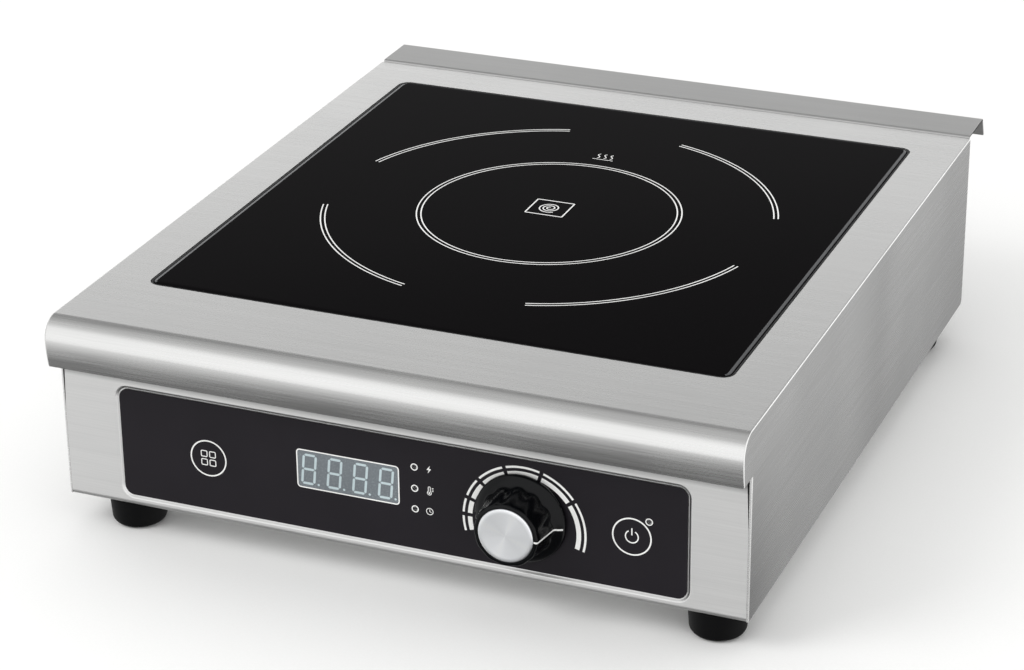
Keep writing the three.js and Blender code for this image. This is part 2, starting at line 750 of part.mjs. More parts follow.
function addControls() {
  add('control_overlay', controlOverlay(), 'overlay');
  add('display_window', displayWindow(), 'lens');
  add('display_module', displayModule(), 'plastic');
  for (const [name, x] of Object.entries(KEYS)) {
    add(`button_${name}`, key(x), 'overlay');
    add(`switch_${name}`, keySwitch(x), 'plastic');
  }
  for (const [name, led] of Object.entries(LEDS)) {
    add(`led_${name}`, lamp(led), 'lamp');
  }
  add('knob_body', knobBody(), 'knob');
  add('knob_cap', knobCap(), 'aluminium');
  add('encoder_body', encoderBody(), 'plastic');
  add('encoder_shaft', encoderShaft(), 'brass');
  add('encoder_nut', encoderNut(), 'screw');
  add('control_pcb', controlBoard(), 'board');
  add('buzzer', buzzer(), 'plastic');
  add('ribbon_cable', ribbonCable(), 'plastic');
}

// ---------- work coil ----------

/** The coil's carrier: a round floor with a rim, holding the sensor in its middle. */
function coilFormer() {
  const profile = [
    [SENSOR_RADIUS + GAP, FORMER_UNDER],
    [COIL.former, FORMER_UNDER],
    [COIL.former, COIL_TOP - 1],
    [COIL.outer + GAP, COIL_TOP - 1],
    [COIL.outer + GAP, FORMER_TOP],
    [SENSOR_RADIUS + GAP, FORMER_TOP],
    [SENSOR_RADIUS + GAP, FORMER_UNDER],
  ];
  return turnedUpright(profile, 0, GLASS_CENTRE_Y);
}

function coilWinding() {
  return turnedUpright(ring(COIL.inner, COIL.outer, FORMER_TOP + GAP, COIL_TOP), 0, GLASS_CENTRE_Y);
}

/** One bar under the carrier, pointing away from the middle. */
function ferrite(degrees) {
  const bar = { length: 55, width: 15, thick: 5, middle: 66 };
  const top = FORMER_UNDER - GAP;
  const centre = onCoilCircle(bar.middle, degrees);
  const geometry = new THREE.BoxGeometry(bar.length, bar.width, bar.thick)
    .rotateZ(THREE.MathUtils.degToRad(degrees))
    .translate(centre.x, centre.y, top - bar.thick / 2);
  return solid(geometry);
}

function micaSheet() {
  return turnedUpright(ring(12, 115, COIL_TOP + 0.4, COIL_TOP + 1), 0, GLASS_CENTRE_Y);
}

/** The sensor that touches the glass from below, on a flange over the carrier. */
function temperatureSensor() {
  const flange = FORMER_TOP + GAP;
  const tip = GLASS_UNDER - GAP;
  const profile = [
    [0, FORMER_UNDER],
    [SENSOR_RADIUS, FORMER_UNDER],
    [SENSOR_RADIUS, flange],
    [SENSOR_RADIUS + 3, flange],
    [SENSOR_RADIUS + 3, flange + 1.2],
    [SENSOR_RADIUS - 1, flange + 1.2],
    [SENSOR_RADIUS - 1, tip],
    [0, tip],
  ];
  return turnedUpright(profile, 0, GLASS_CENTRE_Y, SMALL_ROUND);
}

/** A post from the floor to the carrier, with a wide base. */
function coilSupport(degrees) {
  const low = FLOOR + GAP;
  const centre = onCoilCircle(SUPPORT_CIRCLE, degrees);
  const profile = [[0, low], [7, low], [7, low + 3], [4, low + 6], [4, FORMER_UNDER - GAP], [0, FORMER_UNDER - GAP]];
  return turnedUpright(profile, centre.x, centre.y, SMALL_ROUND);
}

function addCoil() {
  add('coil_former', coilFormer(), 'plastic');
  add('coil_winding', coilWinding(), 'copper');
  for (let i = 0; i < COIL.ferrites; i += 1) {
    add(`ferrite_${i + 1}`, ferrite((i * 360) / COIL.ferrites), 'ferrite');
  }
  add('mica_sheet', micaSheet(), 'mica');
  add('temperature_sensor', temperatureSensor(), 'aluminium');
  for (let i = 0; i < SUPPORTS; i += 1) {
    add(`coil_support_${i + 1}`, coilSupport(90 + (i * 360) / SUPPORTS), 'plastic');
  }
}

// ---------- power board ----------

function powerBoard() {
  return block(
    [BOARD.x - BOARD.width / 2, BOARD.y - BOARD.depth / 2, BOARD.height],
    [BOARD.x + BOARD.width / 2, BOARD.y + BOARD.depth / 2, BOARD_TOP],
  );
}

/** A comb of fins along the air stream, on a thick base. */
function heatSink() {
  const low = BOARD_TOP + GAP;
  const left = HEAT_SINK.x - HEAT_SINK.width / 2;
  const front = HEAT_SINK.y - HEAT_SINK.depth / 2;
  const pitch = (HEAT_SINK.width - HEAT_SINK.finThick) / (HEAT_SINK.fins - 1);
  const outline = new THREE.Shape();
  outline.moveTo(0, 0);
  outline.lineTo(HEAT_SINK.width, 0);
  for (let i = HEAT_SINK.fins - 1; i >= 0; i -= 1) {
    const fin = i * pitch;
    outline.lineTo(fin + HEAT_SINK.finThick, HEAT_SINK.base);
    outline.lineTo(fin + HEAT_SINK.finThick, HEAT_SINK.height);
    outline.lineTo(fin, HEAT_SINK.height);
    outline.lineTo(fin, HEAT_SINK.base);
  }
  return facing(outline, left, low, front, front + HEAT_SINK.depth);
}

/** A part that stands on the board against the heat sink's left side. */
function besideHeatSink(width, height, thick, y) {
  const right = HEAT_SINK.x - HEAT_SINK.width / 2 - GAP;
  const low = BOARD_TOP + GAP;
  return block([right - thick, y - width / 2, low], [right, y + width / 2, low + height]);
}

/** A part with rounded upright corners that stands on the board. */
function onBoard(width, depth, height, x, y) {
  return raised(roundedRectangle(width, depth, 2), x, y, BOARD_TOP + GAP, BOARD_TOP + GAP + height, 1);
}

/** A wound ring that lies on the board. */
function choke() {
  const { ringRadius, tubeRadius } = CHOKE;
  const middle = BOARD_TOP + GAP + tubeRadius;
  const sides = 8;
  const profile = Array.from({ length: sides + 1 }, (_, i) => {
    const angle = (i * 2 * Math.PI) / sides;
    return [ringRadius + tubeRadius * Math.cos(angle), middle + tubeRadius * Math.sin(angle)];
  });
  profile[sides] = profile[0];
  return turnedUpright(profile, CHOKE.x, CHOKE.y, 16);
}

function addPowerBoard() {
  add('power_pcb', powerBoard(), 'board');
  add('heat_sink', heatSink(), 'aluminium');
  add('transistor_1', besideHeatSink(16, 21, 5, HEAT_SINK.y - 25), 'plastic');
  add('transistor_2', besideHeatSink(16, 21, 5, HEAT_SINK.y), 'plastic');
  add('bridge_rectifier', besideHeatSink(25, 20, 5, HEAT_SINK.y + 28), 'plastic');
  add('filter_capacitor', onBoard(32, 18, 28, 70, 165), 'capacitor');
  add('resonant_capacitor', onBoard(40, 20, 32, 74, 200), 'capacitor');
  add('choke', choke(), 'copper');
}

// ---------- fans ----------

/** A square fan housing with a round duct and four arms that carry the motor. */
function fanFrame(x) {
  const low = FLOOR + GAP;
  const armTop = low + 3;
  const half = FAN.side / 2;
  const housing = raised(roundedRectangle(FAN.side, FAN.side, 5), x, FAN.y, low, low + FAN.height, 1);
  const duct = turnedUpright(disc(FAN.bore, low - 1, low + FAN.height + 1), x, FAN.y);
  const armHalf = 2;
  const arms = join(
    block([x - half + 1, FAN.y - armHalf, low], [x + half - 1, FAN.y + armHalf, armTop]),
    block([x - armHalf, FAN.y - half + 1, low], [x + armHalf, FAN.y + half - 1, armTop]),
  );
  const motorMount = turnedUpright(disc(FAN.hub, low, armTop), x, FAN.y);
  return join(cut(housing, duct), arms, motorMount);
}

/** A hub with tilted blades. */
function fanRotor(x) {
  const low = FLOOR + GAP + 4;
  const high = FLOOR + GAP + FAN.height - 1;
  const hub = turnedUpright(disc(FAN.hub, low, high), x, FAN.y);
  const tip = FAN.bore - 1.2;
  const bladeLength = tip - FAN.hub + 3;
  const blades = Array.from({ length: FAN.blades }, (_, i) => {
    const geometry = new THREE.BoxGeometry(bladeLength, 17, 1.4)
      .rotateX(THREE.MathUtils.degToRad(38))
      .translate(tip - 1 - bladeLength / 2, 0, (low + high) / 2)
      .rotateZ((i * 2 * Math.PI) / FAN.blades)
      .translate(x, FAN.y, 0);
    return solid(geometry);
  });
  return join(hub, ...blades);
}

function addFans() {
  for (const [name, x] of Object.entries({ left: -FAN.x, right: FAN.x })) {
    add(`fan_frame_${name}`, fanFrame(x), 'plastic');
    add(`fan_rotor_${name}`, fanRotor(x), 'plastic');
  }
}

// ---------- mains cord ----------

/** The cord leaves the rear panel, bends down to the table and lies behind the casing, under the hood. */
function powerCord() {
  const lying = CORD_RADIUS + TABLE_CLEARANCE;
  const channel = PLUG.y;
  const plugBack = PLUG.faceX + PLUG.length;
  const plugMiddle = PLUG.height / 2 + TABLE_CLEARANCE;
  const points = [
    [CORD_X, REAR_Y - 18, CORD_HEIGHT],
    [CORD_X, REAR_Y - 6, CORD_HEIGHT],
    [CORD_X, REAR_Y + 3, CORD_HEIGHT],
    [CORD_X, REAR_Y + 8, CORD_HEIGHT],
    [CORD_X, channel - 2, CORD_HEIGHT - 5],
    [CORD_X, channel, 20],
    [CORD_X - 6, channel, lying + 4],
    [CORD_X - 18, channel, lying + 0.8],
    [CORD_X - 34, channel, lying],
    [plugBack + 64, channel, lying],
    [plugBack + 46, channel, lying + 1],
    [plugBack + 28, channel, lying + 6],
    [plugBack + 12, channel, plugMiddle],
    [plugBack + 4, channel, plugMiddle],
    [plugBack - 4, channel, plugMiddle],
  ];
  const curve = new THREE.CatmullRomCurve3(points.map((p) => new THREE.Vector3(...p)), false, 'centripetal');
  const section = new THREE.Shape();
  section.absarc(0, 0, CORD_RADIUS, 0, 2 * Math.PI);
  return solid(new THREE.ExtrudeGeometry(section, { steps: 40, curveSegments: 5, extrudePath: curve }));
}

/** A bush with a collar on each side of the rear panel. */
function cordGland() {
  const inside = REAR_Y - SHEET - GAP;
  const outside = REAR_Y + GAP;
  const profile = [
    [CORD_BORE, inside - 4],
    [9.5, inside - 4],
    [9.5, inside],
    [8, inside],
    [8, outside],
    [11, outside],
    [11, outside + 2.5],
    [7.5, outside + 6],
    [CORD_BORE, outside + 6],
    [CORD_BORE, inside - 4],
  ];
  return turnedAlongY(profile, CORD_X, CORD_HEIGHT, 16);
}

/** A flat plug with three round pins in line, standing on its narrow edge. */
function mainsPlug() {
  const middle = PLUG.height / 2 + TABLE_CLEARANCE;
  const back = PLUG.faceX + PLUG.length;
  const outline = new THREE.Shape();
  outline.moveTo(0, -PLUG.height / 2);
  outline.lineTo(PLUG.length * 0.45, -PLUG.height / 2);
  outline.quadraticCurveTo(PLUG.length * 0.7, -PLUG.height / 2, PLUG.length, -PLUG.corner);
  outline.lineTo(PLUG.length, PLUG.corner);
  outline.quadraticCurveTo(PLUG.length * 0.7, PLUG.height / 2, PLUG.length * 0.45, PLUG.height / 2);
  outline.lineTo(0, PLUG.height / 2);
  const body = facing(outline, PLUG.faceX, middle, PLUG.y - PLUG.thick / 2, PLUG.y + PLUG.thick / 2);
  const pins = [-PIN_SPACING, 0, PIN_SPACING].map((offset) => {
    const geometry = new THREE.CylinderGeometry(PLUG.pinRadius, PLUG.pinRadius, PLUG.pinLength + 2, SMALL_ROUND)
      .rotateZ(Math.PI / 2)
      .translate(PLUG.faceX - PLUG.pinLength / 2 + 1, PLUG.y, middle + offset);
    return solid(geometry);
  });
  const entry = new THREE.CylinderGeometry(CORD_BORE, CORD_BORE, 14, ROUND)
    .rotateZ(Math.PI / 2)
    .translate(back, PLUG.y, middle);
  return cut(join(body, ...pins), solid(entry));
}

function addMains() {
  add('power_cord', powerCord(), 'rubber');
  add('cord_gland', cordGland(), 'plastic');
  add('mains_plug', mainsPlug(), 'rubber');
}

// ---------- assembly ----------

addCasing();
addFeet();
addControls();
addCoil();
addPowerBoard();
addFans();
addMains();

const frontmost = KNOB_FRONT_Y - KNOB_CAP_PROUD;
hob.position.y = -(frontmost + HOOD_BACK_Y) / 2;

export default hob;
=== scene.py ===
"""Countertop induction hob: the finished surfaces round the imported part.

Lengths are millimetres in the part's frame (+Z up, front towards -Y) and become metres as vertices are made.
"""

import json
import math

import bmesh
import bpy
from mathutils import Matrix, Vector


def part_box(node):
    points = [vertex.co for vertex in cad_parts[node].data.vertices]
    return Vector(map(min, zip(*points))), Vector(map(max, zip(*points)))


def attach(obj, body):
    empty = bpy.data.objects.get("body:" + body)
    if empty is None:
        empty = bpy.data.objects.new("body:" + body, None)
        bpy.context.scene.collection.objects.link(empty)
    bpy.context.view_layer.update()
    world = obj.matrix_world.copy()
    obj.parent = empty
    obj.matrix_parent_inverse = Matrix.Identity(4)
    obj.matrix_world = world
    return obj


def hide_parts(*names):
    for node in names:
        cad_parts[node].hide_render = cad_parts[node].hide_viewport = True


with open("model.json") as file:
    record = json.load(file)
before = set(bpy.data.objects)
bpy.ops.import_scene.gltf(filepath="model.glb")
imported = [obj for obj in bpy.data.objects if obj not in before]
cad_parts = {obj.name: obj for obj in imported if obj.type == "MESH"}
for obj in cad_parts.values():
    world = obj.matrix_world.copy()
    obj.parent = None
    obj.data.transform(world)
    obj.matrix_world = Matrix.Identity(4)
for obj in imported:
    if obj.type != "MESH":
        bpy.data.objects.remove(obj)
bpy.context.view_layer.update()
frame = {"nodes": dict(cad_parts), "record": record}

MM = 0.001


def box(node):
    """The lowest and highest corners of a CAD node, in millimetres."""
    low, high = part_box(node)
    return low / MM, high / MM


def middle(node):
    low, high = box(node)
    return (low + high) / 2


def radius_of(node):
    low, high = box(node)
    return (high.x - low.x) / 2


# ---------- places and sizes ----------

COVER_LOW, COVER_HIGH = box("top_cover")
TRAY_LOW, TRAY_HIGH = box("chassis_tray")
GLASS_LOW, GLASS_HIGH = box("glass_plate")
FRONT = TRAY_LOW.y
REAR = TRAY_HIGH.y
EDGE = TRAY_LOW.z
TOP = COVER_HIGH.z
SHEET = 1.2
GAP = 0.3

NOSE_REACH = FRONT - COVER_LOW.y
NOSE_RADIUS = 10
NOSE_HEIGHT = 23.1
NOSE_TUCK_RADIUS = 60
FOLD_RADIUS = 3
EDGE_ROUNDING = 0.9
LOWER_CORNER = 3.5
LIP = TOP - NOSE_HEIGHT
CORD_RADIUS = 4
PIN_LENGTH = 19
CLEAR = 0.03
PAST = 1

GLASS_CORNER = 4.5
GLASS_MIDDLE = middle("glass_plate")
GLASS_BEVEL = 1.5
POCKET_MARGIN = 1.4
SEAL_BED = 8

RECESS_DEPTH = 1
RECESS_SLOPE = 1.5
OVERLAY_CORNER = 4.6


# ---------- meshes ----------

def loft(bm, rings, closed=False):
    """Joins rings of equally many points with quads, and caps the ends unless the loft closes on itself."""
    rows = [[bm.verts.new(Vector(point) * MM) for point in ring] for ring in rings]
    pairs = list(zip(rows, rows[1:]))
    if closed:
        pairs.append((rows[-1], rows[0]))
    for a, b in pairs:
        for i in range(len(a)):
            j = (i + 1) % len(a)
            bm.faces.new((a[i], a[j], b[j], b[i]))
    if not closed:
        bm.faces.new(rows[0][::-1])
        bm.faces.new(rows[-1])


def lofted(rings, closed=False):
    bm = bmesh.new()
    loft(bm, rings, closed)
    bmesh.ops.recalc_face_normals(bm, faces=bm.faces)
    return bm


def arc(radius, start, end, steps, centre=(0, 0)):
    """Points on an arc, with its angles in degrees."""
    angles = [math.radians(start + (end - start) * i / steps) for i in range(steps + 1)]
    return [(centre[0] + radius * math.cos(a), centre[1] + radius * math.sin(a)) for a in angles]


def circle(radius, steps, centre=(0, 0)):
    return arc(radius, 0, 360, steps, centre)[:-1]


def rounded(width, height, radius, steps=8, centre=(0, 0)):
    """A rectangle with rounded corners."""
    x, y = width / 2 - radius, height / 2 - radius
    corners = ((x, y, 0), (-x, y, 90), (-x, -y, 180), (x, -y, 270))
    return [
        point
        for cx, cy, start in corners
        for point in arc(radius, start, start + 90, steps, (centre[0] + cx, centre[1] + cy))
    ]


def offset(points, distance, closed=True):
    """The outline moved sideways by a distance, to the left of its direction, with mitred corners."""
    moved = []
    for i, point in enumerate(points):
        here = Vector(point)
        before = Vector(points[i - 1]) if closed or i > 0 else None
        after = Vector(points[(i + 1) % len(points)]) if closed or i < len(points) - 1 else None
        sides = []
        for a, b in ((before, here), (here, after)):
            if a is not None and b is not None and (b - a).length > 1e-9:
                along = (b - a).normalized()
                sides.append(Vector((-along.y, along.x)))
        mitre = sum(sides, Vector((0, 0)))
        mitre = mitre * (len(sides) / max(mitre.length_squared, 1e-9))
        moved.append(tuple(here + mitre * distance))
    return moved


def in_panel(level):
    """Places an outline drawn in X and Z at a y."""
    return lambda points: [(x, level, z) for x, z in points]


def in_plan(level):
    """Places an outline drawn in X and Y at a height."""
    return lambda points: [(x, y, level) for x, y in points]


def in_side(level):
    """Places an outline drawn in Y and Z at an x."""
    return lambda points: [(level, y, z) for y, z in points]


def prism(points, place, low, high):
    """A solid between two levels of the same outline."""
    return lofted([place(low)(points), place(high)(points)])


def turned(profile, place, steps, closed=False):
    """A solid turned from (radius, level) points, capped at both ends unless it closes on itself."""
    return lofted([place(level)(circle(radius, steps)) for radius, level in profile], closed)


def about(centre_x, centre_other, place):
    """Moves a placing function sideways to a centre."""
    def moved(level):
        return lambda points: place(level)([(u + centre_x, v + centre_other) for u, v in points])
    return moved


def combine(base, tool, operation):
    """Cuts or joins two solids exactly."""
    objects = []
    for bm in (base, tool):
        mesh = bpy.data.meshes.new("working")
        bm.to_mesh(mesh)
        bm.free()
        obj = bpy.data.objects.new("working", mesh)
        bpy.context.scene.collection.objects.link(obj)
        objects.append(obj)
    modifier = objects[0].modifiers.new("boolean", "BOOLEAN")
    modifier.operation = operation
    modifier.solver = "EXACT"
    modifier.object = objects[1]
    bpy.context.view_layer.update()
    result = bmesh.new()
    result.from_object(objects[0], bpy.context.evaluated_depsgraph_get())
    for obj in objects:
        bpy.data.meshes.remove(obj.data)
    return result


def gathered(solids):
    """Several separate solids as one mesh."""
    whole = bmesh.new()
    for bm in solids:
        mesh = bpy.data.meshes.new("working")
        bm.to_mesh(mesh)
        bm.free()
        whole.from_mesh(mesh)
        bpy.data.meshes.remove(mesh)
    return whole


def piece(name, bm, materials, body, replaces=(), smooth=35, bevel=0, weighted=False):
    """Makes a named piece of a mesh; it rides on a body and stands for CAD nodes."""
    mesh = bpy.data.meshes.new(name)
    bm.to_mesh(mesh)
    bm.free()
    for material in materials:
        mesh.materials.append(material)
    mesh.shade_smooth()
    mesh.set_sharp_from_angle(angle=math.radians(smooth))
    obj = bpy.data.objects.new(name, mesh)
    bpy.context.scene.collection.objects.link(obj)
    if bevel:
        rounding = obj.modifiers.new("rounded_edges", "BEVEL")
        rounding.width = bevel * MM
        rounding.segments = 2
        rounding.limit_method = "ANGLE"
        rounding.angle_limit = math.radians(smooth)
        rounding.harden_normals = True
    if weighted:
        obj.modifiers.new("flat_faces", "WEIGHTED_NORMAL").keep_sharp = True
    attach(obj, body)
    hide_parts(*replaces)


# ---------- materials ----------

def srgb(red, green, blue):
    """A display colour, 0 to 255, as linear values."""
    def linear(value):
        share = value / 255
        return share / 12.92 if share <= 0.04045 else ((share + 0.055) / 1.055) ** 2.4
    return (linear(red), linear(green), linear(blue), 1)


class Nodes:
    """A node tree; its methods add nodes and return an output."""

    def __init__(self, tree):
        self.tree = tree

    def feed(self, socket, value):
        if isinstance(value, bpy.types.NodeSocket):
            self.tree.links.new(value, socket)
        else:
            socket.default_value = value

    def node(self, kind, inputs=(), output=0, **settings):
        made = self.tree.nodes.new("ShaderNode" + kind)
        for name, value in settings.items():
            setattr(made, name, value)
        for key, value in dict(inputs).items():
            self.feed(made.inputs[key], value)
        return made.outputs[output]

    def along(self, axis, vector):
        """A vector's part along an axis, 0 to 2."""
        return self.node("SeparateXYZ", {0: vector}, axis)


class Shader(Nodes):
    """A node material round one principled surface."""

    def __init__(self, name, colour, roughness, metallic=0.0, specular=0.5):
        self.material = bpy.data.materials.new(name)
        self.material.use_nodes = True
        super().__init__(self.material.node_tree)
        self.surface = self.tree.nodes["Principled BSDF"]
        self.set("Base Color", colour)
        self.set("Roughness", roughness)
        self.set("Metallic", metallic)
        self.set("Specular IOR Level", specular)

    def set(self, name, value):
        self.feed(self.surface.inputs[name], value)

    def math(self, operation, a, b=0.0):
        return self.node("Math", {0: a, 1: b}, operation=operation)

    def product(self, first, *others):
        for other in others:
            first = self.math("MULTIPLY", first, other)
        return first

    def vector(self, operation, a, b=(0, 0, 0), output=0):
        return self.node("VectorMath", {0: a, 1: b}, output, operation=operation)

    def place(self, scale=(1, 1, 1)):
        """The point's place in metres, stretched per axis."""
        return self.vector("MULTIPLY", self.node("TexCoord", output=3), scale)

    def noise(self, vector, scale=1.0, detail=2.0):
        return self.node("TexNoise", {"Vector": vector, "Scale": scale, "Detail": detail})

    def spread(self, value, low, high, start=0.3, end=0.7):
        """Stretches a value that lies mostly between start and end over low to high."""
        return self.node("MapRange", {0: value, 1: start, 2: end, 3: low, 4: high})

    def mix(self, factor, a, b):
        return self.node("Mix", {0: factor, 6: a, 7: b}, 2, data_type="RGBA")

    def scaled(self, colour, amount):
        """A colour made lighter or darker by a factor."""
        base = colour[:3] if isinstance(colour, tuple) else colour
        return self.node("VectorMath", {0: base, 3: amount}, operation="SCALE")

    def bump(self, height, strength, distance=0.0001):
        return self.node("Bump", {"Strength": strength, "Distance": distance, "Height": height})


STEEL = srgb(226, 226, 225)


def brushed_steel(name, grain, roughness=0.34, painted_lightness=1.0, under_nose=False):
    """Satin stainless sheet with straight scratches along X, along Y, or along Y on the sides only."""
    s = Shader(name, STEEL, roughness, 1.0)
    along, fine, streak = 22, 1500, 260
    crosswise = s.place((along, fine, fine))
    crosswise_wide = s.place((along / 3, streak, streak))
    lengthwise = s.place((fine, along, fine))
    lengthwise_wide = s.place((streak, along / 3, streak))
    normal = s.node("NewGeometry", output=1)
    x_axis, y_axis = (1, 0, 0), (0, 1, 0)
    if grain == "by_face":
        sideways = s.math("GREATER_THAN", s.math("ABSOLUTE", s.along(0, normal)), 0.7)
        scratches = s.mix(sideways, s.noise(crosswise, detail=3), s.noise(lengthwise, detail=3))
        streaks = s.mix(sideways, s.noise(crosswise_wide), s.noise(lengthwise_wide))
        direction = s.mix(sideways, (*x_axis, 1), (*y_axis, 1))
    else:
        scratches = s.noise(crosswise if grain == "x" else lengthwise, detail=3)
        streaks = s.noise(crosswise_wide if grain == "x" else lengthwise_wide)
        direction = x_axis if grain == "x" else y_axis
    clouds = s.noise(s.place(), 14, 2)
    # The last factor holds the painted lightness, which makes lighter and darker copies of one steel.
    tone = s.product(
        s.spread(scratches, 0.97, 1.03),
        s.spread(streaks, 0.98, 1.02),
        s.spread(clouds, 0.98 * painted_lightness, 1.02 * painted_lightness),
    )
    # Painted light on the sides: a painted sheen brighter towards the top and a painted shade at the lower
    # front, drawn into the colour.
    if grain == "by_face":
        tone = s.product(tone, painted_side_light(s, sideways))
    if under_nose:
        tone = s.product(tone, nose_shade(s))
    s.set("Base Color", s.scaled(STEEL, tone))
    grit = s.spread(scratches, -0.03, 0.03)
    s.set("Roughness", s.math("ADD", grit, s.spread(clouds, roughness - 0.02, roughness + 0.02)))
    s.set("Anisotropic", 0.55)
    s.set("Tangent", s.vector("CROSS_PRODUCT", normal, direction))
    s.set("Normal", s.bump(scratches, 0.03, 0.00003))
    return s.material


def painted_side_light(s, sideways):
    """The sides' painted light: a painted sheen, brighter towards the top, with broad upright bands, and a
    painted shade, darker at the lower front.
    """
    dark_low, dark_high, dark_reach = 30 * MM, 95 * MM, 70 * MM
    depth, height = s.along(1, s.place()), s.along(2, s.place())
    rise = s.spread(height, 0.9, 1.26, EDGE * MM, TOP * MM)
    # Painted shade: the lower front of the sides is darkened.
    near = s.spread(depth, 1.0, 0.0, FRONT * MM, FRONT * MM + dark_reach)
    low = s.spread(height, 0.42, 0.0, dark_low, dark_high)
    bands = s.spread(s.noise(s.place((2, 14, 2)), 1, 1), 0.9, 1.08)
    sheen = s.product(rise, bands, s.math("SUBTRACT", 1.0, s.product(near, low)))
    return s.math("ADD", 1.0, s.product(sideways, s.math("SUBTRACT", sheen, 1.0)))


def nose_shade(s):
    """The front panel's shade close under the bullnose."""
    shade_low, shade_high, panel_depth = 77 * MM, 81 * MM, 4 * MM
    front = s.math("LESS_THAN", s.along(1, s.place()), FRONT * MM + panel_depth)
    shade = s.spread(s.along(2, s.place()), 0.0, 0.65, shade_low, shade_high)
    return s.math("SUBTRACT", 1.0, s.product(front, shade))


def plated_metal(name, colour, roughness):
    """Zinc plate: dull metal with fine grit and cloudy patches."""
    s = Shader(name, colour, roughness, 1.0)
    grit = s.noise(s.place(), 3000, 2)
    patches = s.noise(s.place(), 260, 3)
    s.set("Base Color", s.scaled(colour, s.spread(patches, 0.86, 1.04)))
    s.set("Roughness", s.spread(patches, roughness - 0.06, roughness + 0.08))
    s.set("Normal", s.bump(grit, 0.12, 0.00003))
    return s.material


def moulded(name, colour, roughness, grain=2500, depth=0.15, specular=0.5, coat=0.0):
    """Moulded plastic or rubber with a fine surface grain and slow colour variation."""
    s = Shader(name, colour, roughness, specular=specular)
    fine = s.noise(s.place(), grain, 3)
    slow = s.noise(s.place(), 35, 2)
    tone = s.product(s.spread(fine, 0.9, 1.1), s.spread(slow, 0.92, 1.08))
    s.set("Base Color", s.scaled(colour, tone))
    s.set("Roughness", s.spread(fine, roughness - 0.05, roughness + 0.05))
    s.set("Normal", s.bump(fine, depth))
    s.set("Coat Weight", coat)
    s.set("Coat Roughness", 0.08)
    return s.material


def spun_metal(name, colour, roughness, centre):
    """Metal turned round an axis parallel to Y through a centre, with a faint painted highlight: two
    opposite bright sectors on a darker rest.
    """
    s = Shader(name, colour, roughness, 1.0)
    fan_turn, fan_sharpness, fan_strength = 1.2, 6, 0.08
    from_centre = s.vector("SUBTRACT", s.place(), tuple(Vector(centre) * MM))
    flat = s.vector("MULTIPLY", from_centre, (1, 0, 1))
    angle = s.math("ARCTAN2", s.along(2, flat), s.along(0, flat))
    radius = s.vector("LENGTH", flat, output=1)
    rings = s.node("TexNoise", {"W": radius, "Scale": 6000, "Detail": 2}, noise_dimensions="1D")
    # Painted highlight: two opposite bright sectors added to the colour, standing in for the streaked
    # reflection of spun metal.
    painted_fan_highlight = s.math("COSINE", s.math("MULTIPLY", s.math("SUBTRACT", angle, fan_turn), 2))
    painted_fan_highlight = s.math("POWER", s.math("ABSOLUTE", painted_fan_highlight), fan_sharpness)
    tone = s.math("ADD", s.spread(rings, 0.92, 0.97), s.math("MULTIPLY", painted_fan_highlight, fan_strength))
    s.set("Base Color", s.scaled(colour, tone))
    s.set("Roughness", s.spread(rings, roughness - 0.05, roughness + 0.06))
    s.set("Anisotropic", 0.6)
    spaces = {"vector_type": "VECTOR", "convert_from": "OBJECT", "convert_to": "WORLD"}
    s.set("Tangent", s.vector("NORMALIZE", s.node("VectorTransform", {0: flat}, **spaces)))
    s.set("Normal", s.bump(rings, 0.1, 0.00002))
    return s.material


def black_glass():
    """Black glass whose mirror image is faint except at a grazing angle."""
    black, speck = srgb(14, 13, 14), srgb(24, 23, 24)
    straight_share, grazing_share, falloff = 0.002, 0.06, 5
    s = Shader("glass_black", black, 0.5, specular=0.0)
    haze = s.noise(s.place(), 40, 3)
    specks = s.noise(s.place(), 5000, 1)
    s.set("Base Color", s.mix(s.spread(specks, 0, 1, 0.62, 0.75), black, speck))
    facing = s.node("LayerWeight", output=1)
    mirror = s.node("BsdfAnisotropic", {"Roughness": s.spread(haze, 0.05, 0.1)})
    glare = s.math("MULTIPLY", s.math("POWER", facing, falloff), grazing_share)
    share = s.math("ADD", glare, straight_share)
    mixed = s.node("MixShader", {0: share, 1: s.surface.outputs[0], 2: mirror})
    s.feed(s.tree.nodes["Material Output"].inputs[0], mixed)
    return s.material


def floor_paper():
    s = Shader("floor_paper", srgb(246, 246, 245), 0.9, specular=0.05)
    grain = s.noise(s.place(), 900, 2)
    s.set("Base Color", s.mix(grain, srgb(243, 243, 242), srgb(248, 248, 247)))
    return s.material


def circuit_board():
    mask, track = srgb(26, 84, 46), srgb(50, 120, 66)
    s = Shader("solder_mask", mask, 0.4)
    copper = s.node("TexVoronoi", {"Vector": s.place(), "Scale": 260}, feature="DISTANCE_TO_EDGE")
    s.set("Base Color", s.mix(s.spread(copper, 0, 1, 0.02, 0.06), track, mask))
    s.set("Normal", s.bump(copper, 0.2))
    return s.material


def wound_wire(name, colour, pitch):
    """Enamelled wire wound in turns round an upright axis."""
    s = Shader(name, colour, 0.35, 0.7)
    turns = {"Vector": s.place(), "Scale": 1 / (pitch * MM * 20)}
    wave = s.node("TexWave", turns, wave_type="RINGS", rings_direction="Z")
    s.set("Base Color", s.mix(wave, s.scaled(colour, 0.35), colour))
    s.set("Normal", s.bump(wave, 0.6))
    return s.material


INK = moulded("white_ink", srgb(238, 238, 236), 0.5, grain=4000, depth=0.05)
# The cover's sides carry a painted sheen and a painted shade.
STEEL_COVER = brushed_steel("brushed_steel_cover", "by_face", 0.26)
# The front panel and tray's steel is painted a little lighter (1.08), with painted shade close under the
# bullnose.
STEEL_CROSS = brushed_steel("brushed_steel_across", "x", 0.4, 1.08, under_nose=True)
